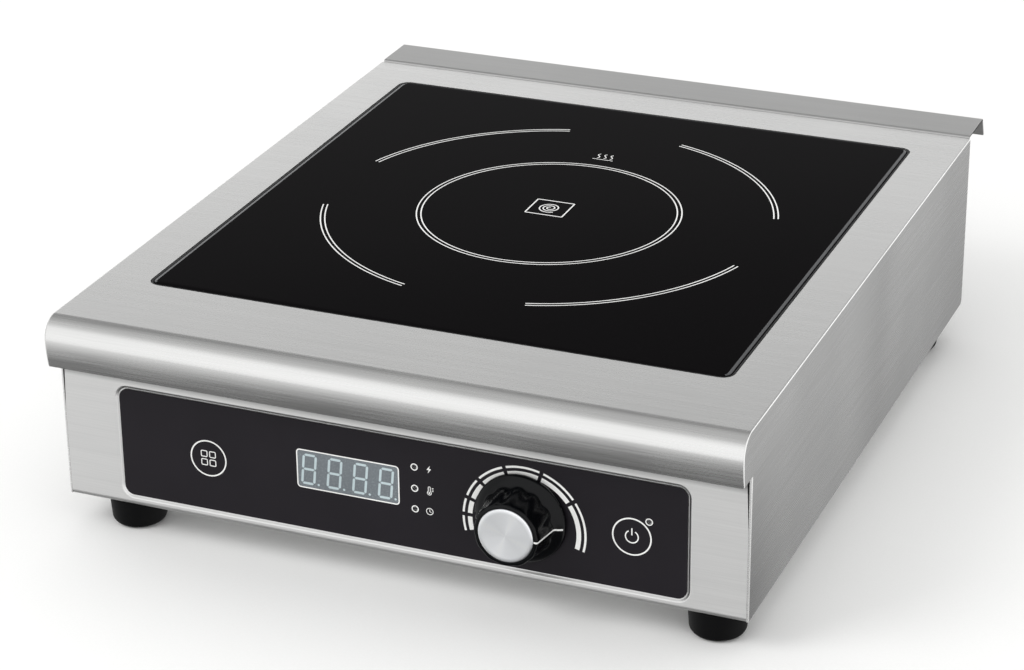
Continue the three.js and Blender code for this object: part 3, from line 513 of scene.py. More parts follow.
# The hood's steel is painted darker (0.68): painted shade for its strip's darker reflection.
STEEL_HOOD = brushed_steel("brushed_steel_hood", "x", 0.34, 0.68)
GLASS = black_glass()
# A grey painted on the glass's bevel facet: a painted reflection of the bevel.
BEVEL_REFLECTION_GREY = moulded("glass_bevel_painted_reflection", srgb(70, 71, 73), 0.35, grain=6000, depth=0.1)
SILICONE = moulded("silicone_black", srgb(24, 24, 25), 0.6)
OVERLAY = moulded("overlay_film", srgb(27, 24, 29), 0.42, grain=3500, depth=0.12, specular=0.18)
LENS = moulded("display_filter", srgb(104, 111, 116), 0.25, grain=1500, depth=0.02, coat=0.4)
SEGMENT = moulded("display_segment", srgb(182, 197, 201), 0.5, depth=0.03)
KNOB_BLACK = moulded("knob_gloss_black", srgb(3, 4, 6), 0.16, grain=500, depth=0.02, specular=0.2)
LAMP = moulded("lamp_epoxy", srgb(58, 56, 60), 0.25, grain=800, depth=0.02, coat=0.5)
RUBBER = moulded("foot_rubber", srgb(9, 9, 10), 0.6, grain=1800, depth=0.3, specular=0.1)
SHEATH = moulded("cable_sheath", srgb(22, 22, 24), 0.45, grain=900, depth=0.15)
PLASTIC = moulded("black_moulding", srgb(28, 28, 31), 0.5)
KNOB_AXIS = middle("knob_cap")
CAP_METAL = spun_metal("spun_aluminium_cap", srgb(250, 252, 254), 0.34, KNOB_AXIS)
SCREW_STEEL = plated_metal("zinc_plated_steel", srgb(190, 192, 194), 0.35)

SLOT_MATERIALS = {
    "steel": STEEL_CROSS,
    "glass_ceramic": GLASS,
    "silicone": SILICONE,
    "overlay": OVERLAY,
    "lens": LENS,
    "knob_plastic": KNOB_BLACK,
    "spun_aluminium": brushed_steel("extruded_aluminium", "y", 0.45),
    "lamp": LAMP,
    "foot_rubber": RUBBER,
    "plastic": PLASTIC,
    "circuit_board": circuit_board(),
    "brass": spun_metal("turned_brass", srgb(196, 158, 86), 0.3, middle("encoder_shaft")),
    "copper_wire": wound_wire("enamelled_wire", srgb(158, 88, 48), 2.4),
    "ferrite": moulded("ferrite", srgb(58, 58, 61), 0.7, grain=3000, depth=0.4),
    "mica": moulded("mica", srgb(205, 196, 172), 0.6, grain=700, depth=0.3),
    "capacitor_case": moulded("capacitor_case", srgb(40, 88, 150), 0.4),
    "cable_sheath": SHEATH,
    "screw_steel": SCREW_STEEL,
}


def finish_cad_nodes():
    """Gives every CAD node the material of its slot."""
    for part in frame["record"]["subparts"]:
        mesh = frame["nodes"][part["node"]].data
        mesh.materials.clear()
        mesh.materials.append(SLOT_MATERIALS[part["material_slot"]])


# ---------- casing ----------

def nose_face(inset):
    """The bullnose's section from the top face round to its lip, on the outer face or inset from it."""
    apex = TOP - NOSE_RADIUS
    tuck_radius = NOSE_TUCK_RADIUS - inset
    tuck = math.degrees(math.asin((NOSE_HEIGHT - NOSE_RADIUS - inset) / tuck_radius))
    front = FRONT - NOSE_REACH
    bend = arc(NOSE_RADIUS - inset, 90, 180, 18, (front + NOSE_RADIUS, apex))
    tucked = arc(tuck_radius, 180, 180 + tuck, 8, (front + NOSE_TUCK_RADIUS, apex))
    return bend + tucked[1:]


def rounded_prism(points, left, right, radius):
    """A side outline run across the hob, with its end edges rounded. The outline runs anticlockwise."""
    rings = []
    steps = 4
    angles = [math.pi / 2 * i / steps for i in range(steps + 1)]
    for side, end in ((-1, left), (1, right)):
        rows = [
            in_side(end - side * radius * (1 - math.cos(a)))(offset(points, radius * (1 - math.sin(a))))
            for a in angles
        ]
        rings += rows if side < 0 else rows[::-1]
    return lofted(rings)


def glass_outline(margin, steps=8):
    smallest_corner = 1.5
    size = GLASS_HIGH - GLASS_LOW
    corner = max(GLASS_CORNER + margin, smallest_corner)
    return rounded(size.x + 2 * margin, size.y + 2 * margin, corner, steps, GLASS_MIDDLE.to_2d())


def lower_corners():
    """What is cut away to round the tray's two lower corners, as seen from the front."""
    radius = LOWER_CORNER
    reach = radius + PAST
    tools = []
    for side in (-1, 1):
        start, end = (0, -90) if side > 0 else (180, 270)
        outline = [(0, -reach), (side * reach, -reach), (side * reach, 0)]
        outline += arc(radius, start, end, 8)
        place = about(side * (COVER_HIGH.x - radius + CLEAR), EDGE + radius - CLEAR, in_panel)
        tools.append(prism(outline, place, FRONT - PAST, REAR + PAST))
    return gathered(tools)


def top_cover():
    mouth = FRONT - 0.4
    below, behind = EDGE - 10, REAR + 10
    foot_line = COVER_LOW.z
    outline = [(FRONT, foot_line)]
    outline += arc(FOLD_RADIUS, -90, 0, 6, (REAR - FOLD_RADIUS, foot_line + FOLD_RADIUS))
    outline += arc(EDGE_ROUNDING, 0, 90, 4, (REAR - EDGE_ROUNDING, TOP - EDGE_ROUNDING))
    outline += nose_face(0) + [(FRONT, LIP)]
    inside = [(mouth, below), (behind, below), (behind, TOP - SHEET)]
    inside += nose_face(SHEET) + [(mouth, LIP + SHEET)]
    wall = COVER_HIGH.x - SHEET
    shell = rounded_prism(outline, COVER_LOW.x, COVER_HIGH.x, EDGE_ROUNDING)
    shell = combine(shell, prism(inside, in_side, -wall, wall), "DIFFERENCE")
    floor = box("glass_seal")[0].z - GAP
    pocket_wall = prism(glass_outline(POCKET_MARGIN + SHEET), in_plan, floor - SHEET, TOP - SHEET / 2)
    shell = combine(shell, pocket_wall, "UNION")
    pocket = prism(glass_outline(POCKET_MARGIN), in_plan, floor, TOP + PAST)
    shell = combine(shell, pocket, "DIFFERENCE")
    opening = prism(glass_outline(POCKET_MARGIN - SEAL_BED), in_plan, floor - 2 * SHEET, TOP)
    shell = combine(shell, opening, "DIFFERENCE")
    piece("top_cover_shell", shell, [STEEL_COVER], "casing", ["top_cover"], 35, 0.12, True)


def recess_solid(offset_back, front):
    """The pressed recess as a solid, from its floor along its soft slope to a plane in front."""
    low, high = box("control_overlay")
    centre = middle("control_overlay")
    size = high - low
    floor_margin = 0.4
    steps = 8
    rings = []
    for i in range(steps + 1):
        share = i / steps
        margin = floor_margin + share * RECESS_SLOPE
        depth = RECESS_DEPTH * (1 - share * share * (3 - 2 * share))
        width, height = size.x + 2 * margin, size.z + 2 * margin
        outline = rounded(width, height, OVERLAY_CORNER + margin, 10, (centre.x, centre.z))
        rings.append(in_panel(FRONT + offset_back + depth)(outline))
    return lofted(rings + [in_panel(front)(outline)])


def folded_sheet(path, thickness, left, right):
    """A sheet bent along a side path, its thickness to the left of the path."""
    inner = offset(path, thickness, closed=False)
    return prism(path + inner[::-1], in_side, left, right)


def slot_outline(width, low, high, centre):
    """A slot with round ends, between two levels."""
    radius = width / 2
    ends = arc(radius, 0, 180, 6, (0, high - radius)) + arc(radius, 180, 360, 6, (0, low + radius))
    return [(centre + u, v) for u, v in ends]


def intake_slots():
    """Slots in the tray's floor under the fans, together filling a round field."""
    width, pitch, count, field = 4, 9, 7, 34
    tools = []
    for side in ("left", "right"):
        painted_fan_highlight = middle(f"fan_frame_{side}")
        for i in range(count):
            across = (i - (count - 1) / 2) * pitch
            reach = math.sqrt(field ** 2 - across ** 2)
            outline = slot_outline(width, painted_fan_highlight.y - reach, painted_fan_highlight.y + reach, painted_fan_highlight.x + across)
            tools.append(prism(outline, in_plan, EDGE - PAST, EDGE + SHEET + PAST))
    return tools


def exhaust_slots(side):
    """Upright slots in one half of the tray's rear wall."""
    width, pitch, count, first = 4, 9, 9, 20
    low, high, reach = EDGE + 22, EDGE + 66, 5
    outlines = [slot_outline(width, low, high, side * (first + i * pitch)) for i in range(count)]
    return [prism(outline, in_panel, REAR - reach, REAR + reach) for outline in outlines]


def corner_slit(side, half):
    """The dark slit between the front panel's end and the cover's side, tapering downwards."""
    width, length, square = 0.9, 26, 3
    above = LIP + 4
    outer = side * (half + PAST)
    inner = side * half
    shape = [(outer, above), (inner - side * width, above), (inner - side * width, LIP - square)]
    shape += [(inner, LIP - length), (outer, LIP - length)]
    return prism(shape, in_panel, FRONT - PAST, FRONT + SHEET + PAST)


def chassis_tray():
    flange = 9
    cord_hole, hole_reach = 8.4, 4
    rim = TRAY_HIGH.z
    half = COVER_HIGH.x - SHEET - 2 * CLEAR
    path = [(FRONT + flange, rim), (FRONT, rim)]
    path += arc(FOLD_RADIUS, 180, 270, 8, (FRONT + FOLD_RADIUS, EDGE + FOLD_RADIUS))
    path += arc(FOLD_RADIUS, 270, 360, 8, (REAR - FOLD_RADIUS, EDGE + FOLD_RADIUS))
    path += [(REAR, rim), (REAR - flange, rim)]
    tray = folded_sheet(path, SHEET, -half, half)
    tray = combine(tray, recess_solid(SHEET, FRONT + SHEET / 2), "UNION")
    tools = [recess_solid(0, FRONT - PAST)] + intake_slots()
    for side in (-1, 1):
        tools += exhaust_slots(side) + [corner_slit(side, half)]
    gland = middle("cord_gland")
    hole = circle(cord_hole, 32, (gland.x, gland.z))
    tools.append(prism(hole, in_panel, REAR - hole_reach, REAR + hole_reach))
    tray = combine(tray, gathered(tools), "DIFFERENCE")
    tray = combine(tray, lower_corners(), "DIFFERENCE")
    piece("chassis_tray_folded", tray, [STEEL_CROSS], "casing", ["chassis_tray"], 32, 0, True)


def rear_hood():
    low, high = box("rear_hood")
    bend, drop, flare, sheet = 1.4, 10.1, 4.2, 1
    slope = math.degrees(math.atan2(drop, flare))
    ridge = high.y - flare
    path = [(high.y, high.z - drop)]
    path += arc(bend, 90 - slope, 90, 5, (ridge - bend * 0.5, high.z - bend))
    path += arc(bend, 90, 180, 5, (low.y + bend, high.z - bend))
    path += [(low.y, low.z)]
    bm = folded_sheet(path, sheet, low.x, high.x)
    piece("rear_hood_folded", bm, [STEEL_HOOD], "casing", ["rear_hood"], 32, 0.2, True)


def glass_plate():
    low, high = GLASS_LOW.z, GLASS_HIGH.z
    edge_break, facet_drop = 0.5, 0.25
    facet_low = high - facet_drop
    levels = [
        (-edge_break, low),
        (0, low + edge_break),
        (0, facet_low - edge_break),
        (-edge_break, facet_low),
        (-GLASS_BEVEL, high - 0.02),
        (-GLASS_BEVEL - 0.35, high),
    ]
    bm = lofted([in_plan(level)(glass_outline(margin, 10)) for margin, level in levels])
    bevel_line = GLASS_HIGH.x - GLASS_BEVEL - 0.3
    # The bevel facet's faces take the grey of the painted reflection.
    for face in bm.faces:
        centre = face.calc_center_median() / MM
        outside = max(abs(v.co.x / MM) for v in face.verts) > bevel_line
        if len(face.verts) == 4 and centre.z > facet_low - 0.1 and outside:
            face.material_index = 1
    piece("glass_plate_polished", bm, [GLASS, BEVEL_REFLECTION_GREY], "casing", ["glass_plate"], 20)


def glass_seal():
    """An L section round the plate: a lip beside its edge and a bed under it."""
    low, high = box("glass_seal")
    wall, clear, chamfer = POCKET_MARGIN - 0.25, 0.08, 0.25
    bed_edge = POCKET_MARGIN - SEAL_BED
    bed_top = GLASS_LOW.z - clear
    section = [
        (wall, low.z),
        (wall, high.z - 0.2),
        (wall - chamfer, high.z),
        (clear + 0.27, high.z),
        (clear, high.z - chamfer),
        (clear, bed_top),
        (bed_edge, bed_top),
        (bed_edge, low.z),
    ]
    bm = lofted([in_plan(level)(glass_outline(margin, 10)) for margin, level in section], closed=True)
    piece("glass_seal_moulded", bm, [SILICONE], "casing", ["glass_seal"], 40)


# ---------- feet ----------

def foot(corner):
    """A round rubber foot, turned in section, with a stepped hole for its screw."""
    node = f"foot_{corner}"
    centre, top, height = middle(node), radius_of(node), box(node)[1].z
    rounding, waist = 3.6, 12.8
    screw_hole, head_hole, head_depth, break_edge = 2.3, 5.5, 8, 0.4
    ledge = height - 1.2
    profile = [(screw_hole, head_depth), (head_hole - break_edge, head_depth)]
    profile += [(head_hole, head_depth - break_edge), (head_hole, break_edge), (head_hole + break_edge, 0)]
    profile += arc(rounding, -90, 0, 7, (waist - rounding, rounding))
    profile += [(top - 0.5, ledge), (top, ledge + 0.4), (top, height - 0.3)]
    profile += [(top - 0.3, height), (screw_hole, height)]
    bm = turned(profile, about(centre.x, centre.y, in_plan), 48, closed=True)
    piece(f"{node}_moulded", bm, [RUBBER], "casing", [node], 35)


# ---------- front controls ----------

OVERLAY_LOW, OVERLAY_HIGH = box("control_overlay")
OVERLAY_FRONT = OVERLAY_LOW.y
INK_THICK = 0.04
INK_SUNK = 0.02
KEYS = {"button_function": "function_key", "button_power": "power_key"}
LAMPS = ("led_power_level", "led_temperature", "led_timer", "led_on")
KEY_GAP = 0.08
LAMP_RADIUS = 1.15
WINDOW_CORNER = 1.8


def on_panel(u, v, level):
    """Where ink at panel place (u, v) and height level above the overlay is."""
    return (u, OVERLAY_FRONT - level, v)


def on_glass(u, v, level):
    return (u, v, GLASS_HIGH.z + level)


def band(bm, left, right, place, closed=False):
    """A strip of ink between two lines that run side by side."""
    sections = [
        [place(*l, -INK_SUNK), place(*r, -INK_SUNK), place(*r, INK_THICK), place(*l, INK_THICK)]
        for l, r in zip(left, right)
    ]
    loft(bm, sections, closed)


def ring_band(bm, centre, outer, width, place, steps):
    band(bm, circle(outer, steps, centre), circle(outer - width, steps, centre), place, True)


def arc_band(bm, centre, outer, width, start, end, place, steps):
    band(bm, arc(outer, start, end, steps, centre), arc(outer - width, start, end, steps, centre), place)


def stroke(bm, points, width, place, closed=False):
    """A line of ink of even width through the points."""
    band(bm, offset(points, width / 2, closed), offset(points, -width / 2, closed), place, closed)


def spot(bm, points, place, thick=INK_THICK):
    """A filled patch of ink."""
    loft(bm, [[place(u, v, level) for u, v in points] for level in (-INK_SUNK, thick)])


def inked(name, bm, body, material=INK):
    bmesh.ops.recalc_face_normals(bm, faces=bm.faces)
    piece(name, bm, [material], body)


def control_overlay():
    """The film, with holes for the keys, the lamps, the knob's shaft and the display."""
    centre = middle("control_overlay")
    size = OVERLAY_HIGH - OVERLAY_LOW
    break_edge, shaft_hole, window_gap = 0.15, 8, 0.05
    back = OVERLAY_HIGH.y
    tools = []

    def outline(margin):
        width, height = size.x + 2 * margin, size.z + 2 * margin
        return rounded(width, height, OVERLAY_CORNER + margin, 12, (centre.x, centre.z))

    def hole(points):
        tools.append(prism(points, in_panel, OVERLAY_FRONT - PAST, back + PAST))

    sheet = lofted([
        in_panel(OVERLAY_FRONT)(outline(-break_edge)),
        in_panel(OVERLAY_FRONT + break_edge)(outline(0)),
        in_panel(back)(outline(0)),
    ])
    for name in KEYS:
        hub = middle(name)
        hole(circle(radius_of(name) + KEY_GAP, 72, (hub.x, hub.z)))
    for name in LAMPS:
        hub = middle(name)
        hole(circle(LAMP_RADIUS + KEY_GAP, 24, (hub.x, hub.z)))
    hole(circle(shaft_hole, 32, (KNOB_AXIS.x, KNOB_AXIS.z)))
    low, high = box("display_window")
    width, height = high.x - low.x + 2 * window_gap, high.z - low.z + 2 * window_gap
    hub = (low + high) / 2
    hole(rounded(width, height, WINDOW_CORNER + window_gap, 6, (hub.x, hub.z)))
    sheet = combine(sheet, gathered(tools), "DIFFERENCE")
    piece("control_overlay_film", sheet, [OVERLAY], "casing", ["control_overlay"], 30, 0, True)


def key(name, body):
    low, high = box(name)
    hub, radius = middle(name), radius_of(name)
    plunger, chamfer = 3, 0.12
    back = OVERLAY_HIGH.y
    profile = [(radius - chamfer, low.y), (radius, low.y + chamfer), (radius, back)]
    profile += [(plunger, back), (plunger, high.y)]
    bm = turned(profile, about(hub.x, hub.z, in_panel), 72)
    piece(f"{name}_disc", bm, [OVERLAY], body, [name], 30, 0, True)


def lamp(name):
    """A round-nosed lamp with a wider base behind the overlay."""
    low, high = box(name)
    hub = middle(name)
    radius, base = LAMP_RADIUS, LAMP_RADIUS + 0.4
    shoulder = low.y + 3.3
    profile = [(0.35 * radius, low.y), (0.75 * radius, low.y + 0.25), (0.95 * radius, low.y + 0.7)]
    profile += [(radius, low.y + 1.2), (radius, shoulder), (base, shoulder), (base, high.y)]
    bm = turned(profile, about(hub.x, hub.z, in_panel), 24)
    piece(f"{name}_lens", bm, [LAMP], "casing", [name], 50)


def display_window():
    low, high = box("display_window")
    centre = ((low.x + high.x) / 2, (low.z + high.z) / 2)
    width, height = high.x - low.x, high.z - low.z
    line = 0.55
    outer = rounded(width, height, WINDOW_CORNER, 6, centre)
    inner = rounded(width - 2 * line, height - 2 * line, WINDOW_CORNER - line, 6, centre)
    bm = prism(outer, in_panel, low.y, high.y)
    piece("display_window_filter", bm, [LENS], "casing", ["display_window"], 35)
    border = bmesh.new()
    band(border, outer, inner, on_panel, True)
    inked("display_outline", border, "casing")
    display_digits(centre, width)


def display_digits(centre, width):
    """Four unlit seven-segment digits with decimal points."""
    digits = 4
    pitch = width / digits
    shift = -0.2
    half_width, half_height = 2.95, 7.1
    thick, nick, ink = 1.15, 0.24, 0.03
    lean = math.tan(math.radians(5.5))
    bm = bmesh.new()

    def bar(origin, start, end):
        """A six-sided bar between two corners of a digit."""
        a, b = Vector(start), Vector(end)
        along = (b - a).normalized()
        side = Vector((-along.y, along.x)) * thick / 2
        a, b = a + along * nick, b - along * nick
        tip = along * thick / 2
        shape = [a, a + tip + side, b - tip + side, b, b - tip - side, a + tip - side]
        points = [(origin[0] + p.x + p.y * lean, origin[1] + p.y) for p in shape]
        spot(bm, points, on_panel, ink)

    columns, rows = (-half_width, half_width), (-half_height, 0, half_height)
    for i in range(digits):
        origin = (centre[0] + (i - (digits - 1) / 2) * pitch + shift, centre[1])
        for z in rows:
            bar(origin, (columns[0], z), (columns[1], z))
        for x in columns:
            bar(origin, (x, rows[0]), (x, rows[1]))
            bar(origin, (x, rows[1]), (x, rows[2]))
        point = (origin[0] + half_width + 1.5, origin[1] - half_height + 0.1)
        spot(bm, circle(0.55, 20, point), on_panel, ink)
    inked("display_digits", bm, "casing", SEGMENT)


KNOB_LOW, KNOB_HIGH = box("knob_body")
CAP_LOW, CAP_HIGH = box("knob_cap")
CAP_RADIUS = radius_of("knob_cap")
SKIRT_RADIUS = radius_of("knob_body")
KNOB_TOP_RADIUS = 14.9
GRIP_RADIUS = 16.6
GRIP_END = FRONT - 6
FLUTES = 12
FLUTE_DEPTH = 0.05
POINTER_ANGLE = -3


def knob_profile():
    """Radius, y and share of the flutes' depth, from the cap's rim over the grip to the skirt."""
    top = KNOB_LOW.y
    rim = CAP_RADIUS + 0.12
    rounding, fillet = 0.9, 1.7
    top_share = 0.4
    profile = [(rim, top + 1.2, 0), (rim, top + 0.25, 0), (rim + 0.2, top, 0)]
    for u, v in arc(rounding, 90, 10, 5, (KNOB_TOP_RADIUS - rounding, 0)):
        profile.append((u, top + rounding - v, top_share))
    steps = 6
    for i in range(1, steps + 1):
        share = i / steps
        radius = KNOB_TOP_RADIUS + (GRIP_RADIUS - KNOB_TOP_RADIUS) * share
        y = top + rounding + (GRIP_END - top - rounding) * share
        profile.append((radius, y, top_share + (1 - top_share) * share))
    steps = 5
    for i in range(1, steps + 1):
        angle = math.radians(90 * i / steps)
        radius = GRIP_RADIUS + fillet * (1 - math.cos(angle))
        profile.append((radius, GRIP_END + fillet * math.sin(angle), 1 - i / steps))
    lip = FRONT - 2.6
    profile += [(SKIRT_RADIUS - 0.7, lip - 0.5, 0), (SKIRT_RADIUS - 0.15, lip, 0)]
    return profile + [(SKIRT_RADIUS, lip + 0.5, 0)]


def fluted(radius, angle, share):
    sharpness = 1.6
    wave = 0.5 - 0.5 * math.cos(FLUTES * (angle - math.radians(POINTER_ANGLE)))
    return radius * (1 - FLUTE_DEPTH * share * wave ** sharpness)


def knob_body():
    back = KNOB_HIGH.y
    hub = 9
    shell = knob_profile()
    shell += [(SKIRT_RADIUS, back - 0.3, 0), (SKIRT_RADIUS - 0.3, back, 0), (SKIRT_RADIUS - 1.6, back, 0)]
    shell += [(SKIRT_RADIUS - 2.2, back - 1, 0), (hub, back - 1, 0), (hub, back - 2, 0)]
    steps = FLUTES * 14
    angles = [2 * math.pi * i / steps for i in range(steps)]
    place = about(KNOB_AXIS.x, KNOB_AXIS.z, in_panel)
    rings = []
    for radius, y, share in shell:
        wavy = [(fluted(radius, a, share), a) for a in angles]
        rings.append(place(y)([(reach * math.cos(a), reach * math.sin(a)) for reach, a in wavy]))
    piece("knob_body_moulded", lofted(rings), [KNOB_BLACK], "knob", ["knob_body"], 50)


def knob_cap():
    """A slightly dished disc with a rolled edge."""
    face, radius = CAP_LOW.y, CAP_RADIUS
    profile = [(0.3, face + 0.06), (radius - 2, face + 0.03), (radius - 0.7, face)]
    profile += [(radius - 0.25, face + 0.12), (radius, face + 0.45), (radius, CAP_HIGH.y)]
    bm = turned(profile, about(KNOB_AXIS.x, KNOB_AXIS.z, in_panel), 96)
    piece("knob_cap_spun", bm, [CAP_METAL], "knob", ["knob_cap"], 40)


def knob_pointer():
    """The white line from the cap's rim over the grip to the skirt's edge."""
    half_width, lift = 0.4, 0.05
    angle = math.radians(POINTER_ANGLE)
    outward = Vector((math.cos(angle), 0, math.sin(angle)))
    sideways = Vector((-math.sin(angle), 0, math.cos(angle)))
    hub = Vector((KNOB_AXIS.x, 0, KNOB_AXIS.z))
    line = [(radius, y) for radius, y, _ in knob_profile()[2:-2]]
    raised = offset(line, -lift, closed=False)
    sunk = offset(line, lift, closed=False)
    sections = []
    for (high_r, high_y), (low_r, low_y) in zip(raised, sunk):
        corners = ((low_r, low_y, -1), (low_r, low_y, 1), (high_r, high_y, 1), (high_r, high_y, -1))
        sections.append([
            tuple(hub + outward * r + Vector((0, y, 0)) + sideways * half_width * side)
            for r, y, side in corners
        ])
    bm = lofted(sections)
    piece("knob_pointer", bm, [INK], "knob")


# ---------- printed marks ----------

def dial_marks(bm):
    """Two broken arcs round the knob, cut at angles that spread clockwise."""
    centre = (KNOB_AXIS.x + 1, KNOB_AXIS.z - 4.6)
    cuts = [195, 178.5, 161, 138.8, 108.8, 73.2, 35, -15]
    half_gap = 1.9
    for end, start in zip(cuts, cuts[1:]):
        first = start + (0 if start == cuts[-1] else half_gap)
        last = end - (0 if end == cuts[0] else half_gap)
        for outer, width in ((29, 1), (26.5, 2.15)):
            arc_band(bm, centre, outer, width, first, last, on_panel, 16)


def lamp_marks(bm):
    radius, line = 1.72, 0.48
    for name in LAMPS:
        hub = middle(name)
        ring_band(bm, (hub.x, hub.z), radius, line, on_panel, 40)


def bolt_icon(bm, x, z):
    shape = [(0.5, 1.9), (-1.1, -0.25), (-0.1, -0.25), (-0.5, -1.9), (1.1, 0.3), (0.1, 0.3)]
    spot(bm, [(x + u, z + v) for u, v in shape], on_panel)


def thermometer_icon(bm, x, z):
    bulb, tube, line = 0.95, 0.5, 0.32
    bulb_z, tip_z = z - 1.05, z + 1.5
    outline = arc(bulb, 120, 420, 20, (x, bulb_z)) + arc(tube, 0, 180, 8, (x, tip_z))
    stroke(bm, outline, line, on_panel, True)
    spot(bm, circle(0.45, 16, (x, bulb_z)), on_panel)
    for i in range(3):
        tick = tip_z - 0.75 * i
        stroke(bm, [(x + 1.2, tick), (x + 2.0, tick)], 0.3, on_panel)


def clock_icon(bm, x, z):
    ring_band(bm, (x, z), 1.75, 0.34, on_panel, 40)
    stroke(bm, [(x, z + 1.05), (x, z), (x + 0.8, z - 0.45)], 0.32, on_panel)


def panel_marks():
    bm = bmesh.new()
    dial_marks(bm)
    lamp_marks(bm)
    beside = 7
    for name, icon in zip(LAMPS, (bolt_icon, thermometer_icon, clock_icon)):
        hub = middle(name)
        icon(bm, hub.x + beside, hub.z)
    inked("panel_marks", bm, "casing")


def power_icon(bm, x, z):
    outer, line = 3.2, 0.55
    arc_band(bm, (x, z), outer, line, 120, 420, on_panel, 36)
    stroke(bm, [(x, z + 0.7), (x, z + 4.1)], line, on_panel)


def squares_icon(bm, x, z):
    step, side, line = 2.1, 2.9, 0.45
    for u in (-step, step):
        for v in (-step, step):
            stroke(bm, rounded(side, side, 0.5, 4, (x + u, z + v)), line, on_panel, True)


def key_marks():
    ring, line = 9.06, 0.66
    for (name, body), icon in zip(KEYS.items(), (squares_icon, power_icon)):
        hub = middle(name)
        bm = bmesh.new()
        ring_band(bm, (hub.x, hub.z), ring, line, on_panel, 96)
        icon(bm, hub.x, hub.z)
        inked(f"{name}_mark", bm, body)


def zone_marks():
    """The cooking zone: two rings, two broken circles, a middle sign and a heat sign."""
    bm = bmesh.new()
    rings, broken_circles, line = (64.4, 62.2), (110.6, 108.5), 0.62
    centre = (GLASS_MIDDLE.x, GLASS_MIDDLE.y + 1.4)
    for outer in rings:
        ring_band(bm, centre, outer, line, on_glass, 160)
    for outer in broken_circles:
        for quarter in (0, 90, 180, 270):
            arc_band(bm, centre, outer, line, quarter + 16, quarter + 74, on_glass, 48)
    coil_sign(bm, centre[0] - 1.3, centre[1] + 4.3)
    heat_waves(bm, centre[0], centre[1] + 76.6)
    inked("zone_marks", bm, "casing")


def coil_sign(bm, x, y):
    """A spiral in a frame."""
    width, height, line = 19, 17.5, 0.7
    stroke(bm, rounded(width, height, 0.4, 2, (x, y)), line, on_glass, True)
    turns, start, growth, steps = 2.6, 0.9, 4.7, 80
    coil = []
    for i in range(steps + 1):
        share = i / steps
        angle = 2 * math.pi * turns * share + math.pi / 2
        radius = start + growth * share
        coil.append((x + radius * math.cos(angle), y + radius * math.sin(angle)))
    stroke(bm, coil, 0.62, on_glass)


def heat_waves(bm, x, y):
    """Three wavy lines over a bar, behind the inner rings."""
    pitch, sway, height, line, steps = 3.4, 0.8, 5.6, 0.5, 20
    low, bar_low, bar_half = y - 2.4, y - 3.9, 5.4
    shares = [i / steps for i in range(steps + 1)]
    for left in (x - pitch, x, x + pitch):
        wave = [(left + sway * math.sin(2 * math.pi * t), low + height * t) for t in shares]
        stroke(bm, wave, line, on_glass)
    stroke(bm, [(x - bar_half, bar_low), (x + bar_half, bar_low)], line, on_glass)


# ---------- mains cord ----------

def cord_points():
    """The cord's line, worked out from the gland and the plug."""
    gland, plug = middle("cord_gland"), middle("mains_plug")
    height, plug_height, channel = gland.z, plug.z, plug.y
    lying = box("power_cord")[0].z + CORD_RADIUS
    back = box("mains_plug")[1].x
    out = [(gland.x, REAR + y, height) for y in (-18, -6, 3, 8)]
    down = [(gland.x, channel - 2, height - 5), (gland.x, channel, 20)]
    flat = [(gland.x - x, channel, lying + z) for x, z in ((6, 4), (18, 0.8), (34, 0))]
    rise = [(back + x, channel, lying + z) for x, z in ((64, 0), (46, 1), (28, 6))]
    end = [(back + x, channel, plug_height) for x in (12, 4, -4)]
    return out + down + flat + rise + end


def smooth_line(points):
    """A centripetal Catmull-Rom line through the points."""
    per_span = 8
    points = [Vector(p) for p in points]
    ends = [2 * points[0] - points[1]] + points + [2 * points[-1] - points[-2]]
    line = []
    for p0, p1, p2, p3 in zip(ends, ends[1:], ends[2:], ends[3:]):
        t1 = (p1 - p0).length ** 0.5
        t2 = t1 + (p2 - p1).length ** 0.5
        t3 = t2 + (p3 - p2).length ** 0.5
        for i in range(per_span):
            t = t1 + (t2 - t1) * i / per_span
            a1 = p0.lerp(p1, t / t1)
            a2 = p1.lerp(p2, (t - t1) / (t2 - t1))
            a3 = p2.lerp(p3, (t - t2) / (t3 - t2))
            b1 = a1.lerp(a2, t / t2)
            b2 = a2.lerp(a3, (t - t1) / (t3 - t1))
            line.append(b1.lerp(b2, (t - t1) / (t2 - t1)))
    return line + [points[-1]]


def swept(line, radius, steps):
    """A round solid along a line."""
    sections = []
    side = Vector((1, 0, 0))
    for i, point in enumerate(line):
        along = (line[min(i + 1, len(line) - 1)] - line[max(i - 1, 0)]).normalized()
        side = (side - along * side.dot(along)).normalized()
        other = along.cross(side)
        sections.append([point + side * u + other * v for u, v in circle(radius, steps)])
    return lofted(sections)


def power_cord():
    cord = swept(smooth_line(cord_points()), CORD_RADIUS, 24)
    piece("power_cord_sheath", cord, [SHEATH], "casing", ["power_cord"], 60)


def cord_gland():
    """A grommet snapped into the rear wall, with a tapered nose outside."""
    low, high = box("cord_gland")
    centre, collar = middle("cord_gland"), radius_of("cord_gland")
    bore, neck, flange = CORD_RADIUS + 0.25, 8, 9.5
    inside, outside = REAR - SHEET - GAP, REAR + GAP
    profile = [(bore, low.y), (flange - 0.3, low.y), (flange, low.y + 0.3), (flange, inside)]
    profile += [(neck, inside), (neck, outside), (collar - 0.3, outside), (collar, outside + 0.3)]
    profile += [(collar, outside + 2.1), (collar - 0.4, outside + 2.5), (neck + 0.2, outside + 3.2)]
    profile += [(neck - 0.7, high.y - 0.4), (neck - 1.1, high.y), (bore, high.y)]
    bm = turned(profile, about(centre.x, centre.z, in_panel), 48, closed=True)
    piece("cord_gland_moulded", bm, [PLASTIC], "casing", ["cord_gland"], 35)


